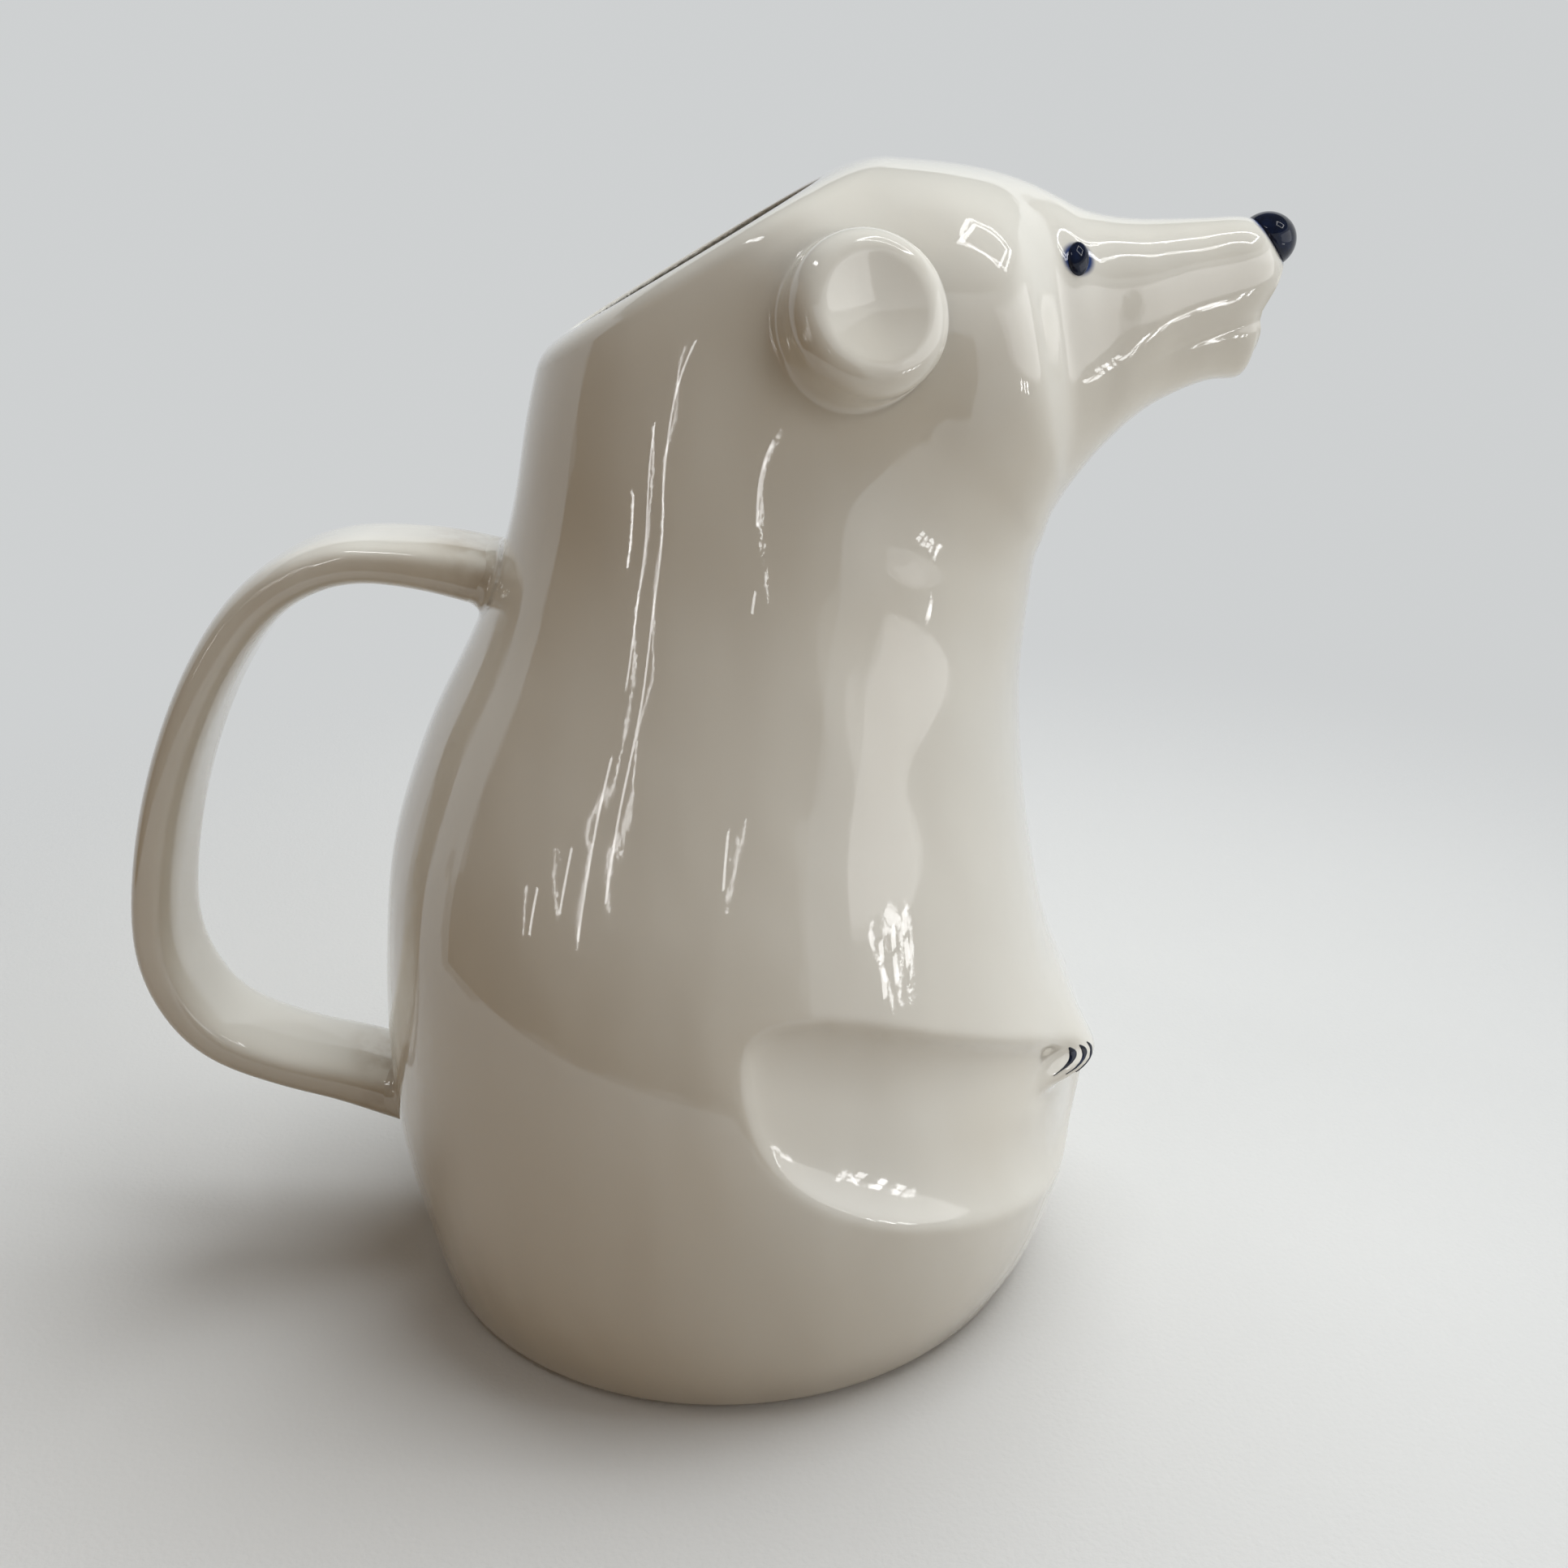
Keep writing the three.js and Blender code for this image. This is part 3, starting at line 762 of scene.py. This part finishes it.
def ear_profile():
    """Half a section of the button, from the middle of its dish over its roll: (radius, rise)."""
    lean, dish_steps, roll_steps = EAR_DISH_LEAN, 18, 22
    roll_middle = EAR_RADIUS - EAR_ROLL
    edge = np.array([roll_middle - EAR_ROLL * math.sin(lean), EAR_ROLL * (math.cos(lean) - 1)])
    knee = np.array([edge[0] - (EAR_DISH + edge[1]) / math.tan(lean), -EAR_DISH])
    middle = np.array([0, -EAR_DISH])
    share = np.linspace(0.04, 1, dish_steps)[:, None]
    dish = (1 - share) ** 2 * middle + 2 * share * (1 - share) * knee + share**2 * edge
    swing = np.linspace(math.pi / 2 + lean, 0, roll_steps)[1:]
    roll = np.stack([roll_middle + EAR_ROLL * np.cos(swing), EAR_ROLL * (np.sin(swing) - 1)], axis=1)
    return np.vstack([dish, roll])


def ear(name, material, side):
    """A round dished button whose foot flows out onto the head."""
    spokes, skirt_steps, clear = 120, 18, 30
    facing = unit(np.array([math.sin(EAR_FORWARD), -math.cos(EAR_FORWARD), math.tan(EAR_UP)]))
    seat, _ = right_side_at(EAR_X, EAR_Z)
    centre = seat + EAR_STAND * facing
    level = unit(np.cross(facing, [0, 0, 1]))
    upright = np.cross(level, facing)
    profile = ear_profile()
    strips = []
    for spoke in range(spokes):
        angle = 2 * math.pi * spoke / spokes
        off = math.cos(angle) * level + math.sin(angle) * upright
        face = [centre + r * off + rise * facing for r, rise in profile]
        flare = EAR_FLARE + (EAR_LOW_FLARE - EAR_FLARE) * ((1 - math.sin(angle)) / 2) ** 2
        foot, normal = skin_hit(centre + (EAR_RADIUS + flare) * off + clear * facing, -facing)
        edge = foot - EAR_EDGE_SINK * normal
        skirt = fillet(face[-1], -facing, edge, normal, skirt_steps)[1:]
        strips.append([*face, *skirt, foot - EAR_BACK_SINK * normal])
    rows = np.array(strips).transpose(1, 0, 2)
    points, faces = capped_grid(rows)
    piece = mesh_piece(name, points * [1, side, 1], faces, material)
    shade_into(piece, EAR_SHADE_REACH, (SKIN_TREE, SKIN_NORMALS))
    return piece


# Face


def nose(material):
    """The painted bulb at the end of the snout."""
    columns, count = 64, 26
    axis = unit(np.cross(NOSE_BACK_LOW - NOSE_BACK_TOP, [0, 1, 0]))
    axis = axis * np.sign(axis[0])
    upright = np.cross([0, 1, 0], axis)
    back = np.dot((NOSE_BACK_TOP + NOSE_BACK_LOW) / 2 - NOSE_CENTRE, axis)
    size = 1 / np.linalg.norm(axis / NOSE_RADII)
    start = math.acos(np.clip(back / size, -1, 1))
    angles = np.linspace(start, 0.03, count)
    around = 2 * np.pi * np.arange(columns) / columns
    spread = np.cos(around)[:, None] * np.array([0, 1, 0]) + np.sin(around)[:, None] * upright
    rows = []
    for angle in angles:
        direction = math.cos(angle) * axis + math.sin(angle) * spread
        length = np.linalg.norm(direction / NOSE_RADII, axis=1, keepdims=True)
        rows.append(NOSE_CENTRE + direction / length)
    tucked = rows[0] + NOSE_TUCK_SHARE * (rows[0].mean(0) - rows[0]) - NOSE_TUCK_DEPTH * axis
    points, faces = capped_grid([tucked, *rows])
    return mesh_piece("nose_tip_painted", points, faces, material)


def eye(name, material, side):
    """An upright oval bead of paint: a low dome that follows the skin, with its first ring under it."""
    corners, rings, innermost = 40, 9, 0.05
    rows = []
    for share in [1.0, *np.linspace(1, innermost, rings)]:
        lift = EYE_PROUD * math.sqrt(max(1 - share**2, 0)) + EYE_LEAST_PROUD if rows else -EYE_SINK
        ring = []
        for angle in 2 * np.pi * np.arange(corners) / corners:
            x = EYE_X + share * EYE_HALF_WIDTH * math.cos(angle)
            z = EYE_Z + share * EYE_HALF_HEIGHT * math.sin(angle)
            place, normal = right_side_at(x, z)
            ring.append(place + lift * normal)
        rows.append(ring)
    points, faces = capped_grid(rows)
    return mesh_piece(name, points * [1, side, 1], faces, material)


def claw(name, material, index, side):
    """One brushed stroke, thin at both ends and bowed, lying on the paw."""
    steps, across = 22, 7
    rows = []
    for share in np.linspace(0, 1, steps):
        height = CLAW_TOP + index * CLAW_LIFT - CLAW_LENGTH * share
        swell = math.sin(math.pi * share)
        middle = CLAW_TURN + index * CLAW_STEP + CLAW_SLANT * (share - CLAW_BOW * swell)
        half = CLAW_HALF * (CLAW_TIP_SHARE + (1 - CLAW_TIP_SHARE) * swell) / BELLY_REACH
        ring = []
        for place in np.linspace(-1, 1, across):
            point, normal = skin_at(middle + half * place, height)
            ring.append(point + (CLAW_PROUD * (1 - place**2) + CLAW_LEAST_PROUD) * normal)
        for place in np.linspace(1, -1, across):
            point, normal = skin_at(middle + half * place, height)
            ring.append(point - CLAW_SINK * normal)
        rows.append(ring)
    points, faces = capped_grid(rows)
    return mesh_piece(name, points * [1, side, 1], faces, material)


# Materials


class Nodes:
    """A material's nodes, with inputs given by name as values or as other nodes' outputs."""

    def __init__(self, name):
        self.material = bpy.data.materials.new(name)
        self.material.use_nodes = True
        self.tree = self.material.node_tree
        self.shader = self.tree.nodes["Principled BSDF"]
        self.place = self.add("ShaderNodeTexCoord").outputs["Object"]

    def add(self, kind, inputs=None, **settings):
        node = self.tree.nodes.new(kind)
        for key, value in settings.items():
            setattr(node, key, value)
        self.feed(node, inputs or {})
        return node

    def connect(self, socket, value):
        """Link another node's output to a socket, or set the socket's own value."""
        if isinstance(value, bpy.types.NodeSocket):
            self.tree.links.new(value, socket)
        else:
            socket.default_value = (*value, 1) if socket.type == "RGBA" else value

    def feed(self, node, inputs):
        for key, value in inputs.items():
            self.connect(node.inputs[key], value)

    def math(self, operation, first, second):
        return self.add("ShaderNodeMath", {0: first, 1: second}, operation=operation).outputs[0]

    def vector(self, operation, *inputs):
        return self.add("ShaderNodeVectorMath", dict(enumerate(inputs)), operation=operation)

    def part(self, axis):
        return self.add("ShaderNodeSeparateXYZ", {0: self.place}).outputs[axis]

    def noise(self, scale, detail=2.0, upright=1.0):
        """Noise over the piece, drawn out upwards where upright is below 1."""
        stretch = self.vector("MULTIPLY", self.place, (1, 1, upright))
        inputs = {"Vector": stretch.outputs[0], "Scale": scale, "Detail": detail}
        return self.add("ShaderNodeTexNoise", inputs).outputs["Fac"]

    def ranged(self, value, low, high, to_low=0.0, to_high=1.0):
        inputs = {"Value": value, "From Min": low, "From Max": high, "To Min": to_low, "To Max": to_high}
        return self.add("ShaderNodeMapRange", inputs, interpolation_type="SMOOTHSTEP").outputs["Result"]

    def mixed(self, share, *colours):
        node = self.add("ShaderNodeMix", {"Factor": share}, data_type="RGBA")
        sockets = [socket for socket in node.inputs if socket.type == "RGBA"]
        for socket, colour in zip(sockets, colours):
            self.connect(socket, colour)
        return [socket for socket in node.outputs if socket.type == "RGBA"][0]

    def near(self, point, reach, fade):
        """One at a point given in millimetres round the foot's middle, on both sides of the bear."""
        halves = self.vector("ABSOLUTE", self.place)
        parts = self.add("ShaderNodeSeparateXYZ", {0: self.place}).outputs
        sides = self.add("ShaderNodeSeparateXYZ", {0: halves.outputs[0]}).outputs
        folded = self.add("ShaderNodeCombineXYZ", {"X": parts["X"], "Y": sides["Y"], "Z": parts["Z"]})
        target = [(point[0] + FOOT_X) * MM, abs(point[1]) * MM, point[2] * MM]
        off = self.vector("DISTANCE", folded.outputs[0], target)
        return self.ranged(off.outputs["Value"], reach * MM, (reach + fade) * MM, 1.0, 0.0)

    def beyond(self, point, normal, fade):
        """One on the far side of a plane given in millimetres round the foot's middle."""
        target = [(value + shift) * MM for value, shift in zip(point, (FOOT_X, 0, 0))]
        off = self.vector("SUBTRACT", self.place, target)
        along = self.vector("DOT_PRODUCT", off.outputs[0], list(normal))
        return self.ranged(along.outputs["Value"], -fade * MM, fade * MM)

    def bumped(self, height, distance, under=None):
        inputs = {"Height": height, "Distance": distance, "Strength": 1.0}
        if under:
            inputs["Normal"] = under
        return self.add("ShaderNodeBump", inputs).outputs["Normal"]


IVORY = (0.81, 0.785, 0.72)
IVORY_WARM = (0.795, 0.755, 0.67)
IVORY_COOL = (0.80, 0.79, 0.74)
STAIN = (0.36, 0.26, 0.15)
COBALT = (0.03, 0.06, 0.19)
BLUE_BLACK = (0.008, 0.011, 0.022)
BARE_CLAY = (0.70, 0.66, 0.58)
COBALT_BLACK = (0.012, 0.02, 0.055)
SPECK = (0.16, 0.11, 0.07)

# Gloss of the glaze and of the paint: depths of the slow wander and of the fine grain in metres
GLAZE_WANDER = 0.0016
GLAZE_GRAIN = 0.00002
GLAZE_ROUGHNESS = (0.03, 0.08)
GLAZE_GLOSS = {"IOR": 1.5, "Coat Weight": 0.9, "Coat Roughness": 0.02, "Coat IOR": 1.5}
PAINT_GRAIN = 0.00003
PAINT_ROUGHNESS = (0.04, 0.1)
PAINT_GLOSS = {"IOR": 1.36, "Coat Weight": 0.1, "Coat Roughness": 0.02, "Coat IOR": 1.5}

# Painted and stained zones in the glaze, in millimetres: the brown stains round the handle's roots,
# the blue that runs out round the eye, and the nose's paint with its blue edge behind it
STAIN_REACH = 9
STAIN_FADE = 9
STAIN_SHARE = 0.42
EYE_HALO_REACH = 2.3
EYE_HALO_FADE = 1.3
NOSE_PAINT = [(COBALT, 0.5), (BLUE_BLACK, -0.2)]
NOSE_PAINT_FADE = 0.45


def glaze_base(nodes):
    """Ivory porcelain under a clear glaze: slow drifts of tone, and a few iron specks."""
    warm = nodes.ranged(nodes.noise(14, 3), 0.45, 0.7)
    cool = nodes.ranged(nodes.noise(9, 2), 0.5, 0.75)
    colour = nodes.mixed(warm, IVORY, IVORY_WARM)
    colour = nodes.mixed(cool, colour, IVORY_COOL)
    cells = nodes.add("ShaderNodeTexVoronoi", {"Vector": nodes.place, "Scale": 70.0})
    dots = nodes.ranged(cells.outputs["Distance"], 0.018, 0.035, 1.0, 0.0)
    chance = nodes.add("ShaderNodeSeparateColor", {0: cells.outputs["Color"]}).outputs[0]
    few = nodes.ranged(chance, 0.955, 0.96)
    return nodes.mixed(nodes.math("MULTIPLY", dots, few), colour, SPECK)


def glaze_finish(nodes, colour):
    """A wet gloss whose surface wanders a little, as a dipped glaze does."""
    slow = nodes.bumped(nodes.noise(46, 1.5, 0.4), GLAZE_WANDER)
    fine = nodes.bumped(nodes.noise(420, 2.0), GLAZE_GRAIN, under=slow)
    smears = nodes.ranged(nodes.noise(60, 4), 0.3, 0.8, *GLAZE_ROUGHNESS)
    nodes.feed(nodes.shader, {"Base Color": colour, "Normal": fine, "Roughness": smears})
    nodes.feed(nodes.shader, GLAZE_GLOSS)
    return nodes.material


def glaze_material(joints, eye_place):
    """The glaze with its stains at the joints, its painted zones and the bare clay under the foot."""
    nodes = Nodes("ivory_glaze")
    colour = glaze_base(nodes)
    stain_noise = nodes.ranged(nodes.noise(180, 4), 0.35, 0.65, 0.2, 1.0)
    for joint in joints:
        shade = nodes.near(joint, STAIN_REACH, STAIN_FADE)
        spotted = nodes.math("MULTIPLY", shade, stain_noise)
        soft = nodes.math("MULTIPLY", spotted, STAIN_SHARE)
        colour = nodes.mixed(soft, colour, STAIN)
    halo = nodes.near(eye_place, EYE_HALO_REACH, EYE_HALO_FADE)
    colour = nodes.mixed(halo, colour, COBALT)
    nose_front = unit(np.cross(NOSE_BACK_LOW - NOSE_BACK_TOP, [0, 1, 0]))
    for colour_there, back_by in NOSE_PAINT:
        painted = nodes.beyond(NOSE_BACK_TOP - back_by * nose_front, nose_front, NOSE_PAINT_FADE)
        colour = nodes.mixed(painted, colour, colour_there)
    foot = nodes.ranged(nodes.part("Z"), 0.4 * MM, 0.9 * MM, 1.0, 0.0)
    colour = nodes.mixed(foot, colour, BARE_CLAY)
    return glaze_finish(nodes, colour)


def seam_material():
    """The glaze again, with brown stains all over."""
    nodes = Nodes("stained_seam")
    colour = glaze_base(nodes)
    tide = nodes.ranged(nodes.noise(150, 4), 0.4, 0.7, 0.1, 0.5)
    colour = nodes.mixed(tide, colour, STAIN)
    return glaze_finish(nodes, colour)


def paint_material():
    """Blue-black paint with brushed tones, under a thin glaze."""
    nodes = Nodes("blue_black_underglaze")
    brush = nodes.ranged(nodes.noise(240, 3), 0.4, 0.75)
    colour = nodes.mixed(brush, BLUE_BLACK, COBALT_BLACK)
    fine = nodes.bumped(nodes.noise(300, 2), PAINT_GRAIN)
    smears = nodes.ranged(nodes.noise(120, 3), 0.3, 0.8, *PAINT_ROUGHNESS)
    nodes.feed(nodes.shader, {"Base Color": colour, "Normal": fine, "Roughness": smears})
    nodes.feed(nodes.shader, PAINT_GLOSS)
    return nodes.material


# Floor and card: colours, and the distances in metres over which one gives way to the other
PAPER_TONES = [(0.71, 0.705, 0.695), (0.74, 0.735, 0.725)]
BOUNCE_TONES = [(0.27, 0.195, 0.11), (0.63, 0.61, 0.57)]
BOUNCE_FROM_TO = (0.02, 0.2)
BACKGROUND = (0.62, 0.635, 0.64)
BACKGROUND_FROM_TO = (0.12, 0.5)
CARD_TONES = [(0.14, 0.09, 0.045), (0.22, 0.15, 0.08)]


def floor_material():
    """Pale paper, lit round the pitcher, and a plain pale background further out.

    The light that bounces off it is brown on the handle's side and pale on the other.
    """
    nodes = Nodes("pale_paper")
    tone = nodes.ranged(nodes.noise(2.2, 3), 0.3, 0.7)
    paper = nodes.mixed(tone, *PAPER_TONES)
    rays = nodes.add("ShaderNodeLightPath").outputs
    bounce = nodes.mixed(nodes.ranged(nodes.part("X"), *BOUNCE_FROM_TO), *BOUNCE_TONES)
    seen = rays["Is Camera Ray"]
    for kind in ("Is Glossy Ray", "Is Transmission Ray"):
        seen = nodes.math("ADD", seen, rays[kind])
    colour = nodes.mixed(seen, bounce, paper)
    grain = nodes.bumped(nodes.noise(900, 3), 0.0001)
    nodes.feed(nodes.shader, {"Base Color": colour, "Normal": grain, "Roughness": 0.75})
    away = nodes.vector("LENGTH", nodes.place).outputs["Value"]
    share = nodes.math("MULTIPLY", nodes.ranged(away, *BACKGROUND_FROM_TO), seen)
    glow = nodes.add("ShaderNodeEmission", {"Color": BACKGROUND, "Strength": 1.0})
    blend = nodes.add("ShaderNodeMixShader", {0: share, 1: nodes.shader.outputs[0], 2: glow.outputs[0]})
    nodes.feed(nodes.tree.nodes["Material Output"], {"Surface": blend.outputs[0]})
    return nodes.material


def flag_material():
    """Dull brown card, mottled a little."""
    nodes = Nodes("brown_card")
    drape = nodes.ranged(nodes.noise(9, 3), 0.3, 0.7)
    colour = nodes.mixed(drape, *CARD_TONES)
    nodes.feed(nodes.shader, {"Base Color": colour, "Roughness": 0.9})
    return nodes.material


# Pieces

TOP_ROOT, _ = skin_at(math.pi, HANDLE_TOP_HEIGHT)
LOW_ROOT, _ = skin_at(math.pi, HANDLE_LOW_HEIGHT)
EYE_PLACE, _ = right_side_at(EYE_X, EYE_Z)
GLAZE = glaze_material([TOP_ROOT, LOW_ROOT], EYE_PLACE)
SEAM = seam_material()
PAINT = paint_material()

belongs(casting(GLAZE), "glaze", "body_casting")
belongs(handle(GLAZE), "glaze", "handle")
belongs(lute("handle_lute_upper_bead", SEAM, True), "seam", "handle_lute_upper")
belongs(lute("handle_lute_lower_bead", SEAM, False), "seam", "handle_lute_lower")
belongs(nose(PAINT), "underglaze", "nose_tip")
for word, side in (("right", 1), ("left", -1)):
    belongs(ear(f"ear_{word}_glazed", GLAZE, side), "glaze", f"ear_{word}")
    belongs(eye(f"eye_{word}_painted", PAINT, side), "underglaze", f"eye_{word}")
    for index in range(CLAW_COUNT):
        name = f"claw_{word}_{index + 1}"
        belongs(claw(f"{name}_painted", PAINT, index, side), "underglaze", name)


# Stage


def sweep(material):
    """A pale paper sweep: flat under the pitcher, rising in a wide curve all round."""
    columns = 96
    flat, bend, top = 0.9, 0.7, 1.3
    profile = [(0.3, 0.0), (flat, 0.0)]
    for angle in np.linspace(0, math.pi / 2, 20)[1:]:
        profile.append((flat + bend * math.sin(angle), bend * (1 - math.cos(angle))))
    profile.append((flat + bend, top))
    around = 2 * np.pi * np.arange(columns) / columns
    circle = np.stack([np.cos(around), np.sin(around), 0 * around], axis=1)
    rows = [radius * circle + [0, 0, height] for radius, height in profile]
    points = np.vstack([*rows, [[0, 0, 0]]])
    faces = ring_faces(len(rows), columns)
    middle = len(points) - 1
    faces += [(middle, column, (column + 1) % columns) for column in range(columns)]
    mesh = bpy.data.meshes.new("paper_sweep")
    mesh.from_pydata(points.tolist(), [], faces)
    return finished_piece("paper_sweep", mesh, material)


def flag(material):
    """A brown card round the camera's side: it shows in the gloss and tints the bounced light only."""
    columns, radius, low = 40, 0.38, 0.012
    start, bend, end = np.radians([183, 240, 300])
    top, fall = 0.55, 0.3
    angles = np.linspace(start, end, columns)
    high = top - fall * smoothstep(angles, bend, end)
    edge = np.stack([radius * np.cos(angles), radius * np.sin(angles), 0 * angles], axis=1)
    points = np.vstack([edge + [0, 0, low], edge + np.outer(high, [0, 0, 1])])
    faces = [(i, i + 1, columns + i + 1, columns + i) for i in range(columns - 1)]
    mesh = bpy.data.meshes.new("flag")
    mesh.from_pydata(points.tolist(), [], faces)
    card = finished_piece("flag", mesh, material)
    card.visible_camera = False
    card.visible_shadow = False
    return card


# The place in the pitcher that most lamps are turned to
MIDDLE = (0, 0, 0.11)


def lamp(name, place, target, size, power, colour=(1, 1, 1)):
    """A flat lamp turned to a target, with its size in metres and its power in watts."""
    light = bpy.data.lights.new(name, "AREA")
    light.shape = "RECTANGLE"
    light.size, light.size_y = size
    light.energy = power
    light.color = colour
    holder = bpy.data.objects.new(name, light)
    holder.location = place
    aim = Vector(target) - Vector(place)
    holder.rotation_euler = aim.to_track_quat("-Z", "Y").to_euler()
    bpy.context.scene.collection.objects.link(holder)
    return holder


def lamp_grid(name, centre, steps, places, size, power):
    """Small lamps side by side, in the plane that faces the pitcher."""
    for number, (column, row) in enumerate(places):
        holder = lamp(f"{name}_{number}", centre, MIDDLE, size, power)
        turn = holder.rotation_euler.to_matrix()
        holder.location += turn @ Vector((column * steps[0], row * steps[1], 0))


def camera():
    """A close view from the bear's right side, slanting down."""
    picture, lens_pixels, horizon_row = 1932, 1935, 200
    place = Vector((FOOT_X + 13, -305, 225)) * MM
    pitch = math.atan((picture / 2 - horizon_row) / lens_pixels)
    roll = math.radians(-0.5)
    ahead = Vector((0, math.cos(pitch), -math.sin(pitch)))
    level = Vector((1, 0, 0))
    upright = level.cross(ahead)
    right = level * math.cos(roll) + upright * math.sin(roll)
    up = right.cross(ahead)
    data = bpy.data.cameras.new("camera")
    data.sensor_width = 36
    data.lens = data.sensor_width * lens_pixels / picture
    data.clip_start = 0.01
    holder = bpy.data.objects.new("camera", data)
    turn = Matrix((right, up, -ahead)).transposed().to_4x4()
    holder.matrix_world = Matrix.Translation(place) @ turn
    bpy.context.scene.collection.objects.link(holder)
    bpy.context.scene.camera = holder


sweep(floor_material())
COOL = (0.93, 0.975, 1.0)
FACE = (0.07, -0.02, 0.205)
OVERHEAD = lamp("overhead", (0.34, 0.34, 1.2), MIDDLE, size=(1.3, 1.1), power=17.6, colour=COOL)
HEAD_LIGHT = lamp("gridded_box", (0.42, -0.5, 0.62), FACE, size=(0.3, 0.3), power=0.02)
HEAD_LIGHT.data.spread = math.radians(28)
for unseen in (OVERHEAD, HEAD_LIGHT):
    unseen.visible_glossy = False
lamp("softbox_right", (1.12, -0.38, 0.4), MIDDLE, size=(1.2, 0.76), power=3.0)

# Lamps that show in the glaze: a window, a strip, a square ring and five upright streaks
PANES = [(column, row) for column in (-1, 0, 1) for row in (-0.5, 0.5)]
lamp_grid("window", (0.6, -0.36, 0.08), (0.055, 0.03), PANES, size=(0.02, 0.024), power=0.016)
lamp("strip_over_handle", (-0.3, -0.25, 1.1), MIDDLE, size=(0.3, 0.04), power=0.45)
RING, RING_STEPS, RING_POWER = (0.54, -0.085, 0.965), (0.15, 0.17), 0.24
lamp_grid("ring_light", RING, RING_STEPS, [(-1, 0), (1, 0)], (0.028, 0.36), RING_POWER)
lamp_grid("ring_light_ends", RING, RING_STEPS, [(0, -1), (0, 1)], (0.3, 0.028), RING_POWER)

# Each streak's turn round the pitcher in degrees, and the heights of its two ends
STREAKS = [(239, 0.17, 0.32), (232, 0.14, 0.26), (275, 0.2, 0.22), (225, 0.16, 0.21), (216, 0.12, 0.17)]
STREAK_RADIUS = 0.36
STREAK_WIDTH = 0.005
STREAK_POWER_PER_METRE = 0.16
for number, (turn, low, high) in enumerate(STREAKS):
    across, ahead = math.cos(math.radians(turn)), math.sin(math.radians(turn))
    place = (STREAK_RADIUS * across, STREAK_RADIUS * ahead, (low + high) / 2)
    power = STREAK_POWER_PER_METRE * (high - low)
    lamp(f"strip_{number}", place, MIDDLE, size=(STREAK_WIDTH, high - low), power=power)

flag(flag_material())
world = bpy.data.worlds.new("studio")
world.use_nodes = True
background = world.node_tree.nodes["Background"].inputs
background["Color"].default_value = (0.95, 0.86, 0.72, 1)
background["Strength"].default_value = 0.05
bpy.context.scene.world = world
bpy.context.scene.view_settings.view_transform = "Standard"
camera()
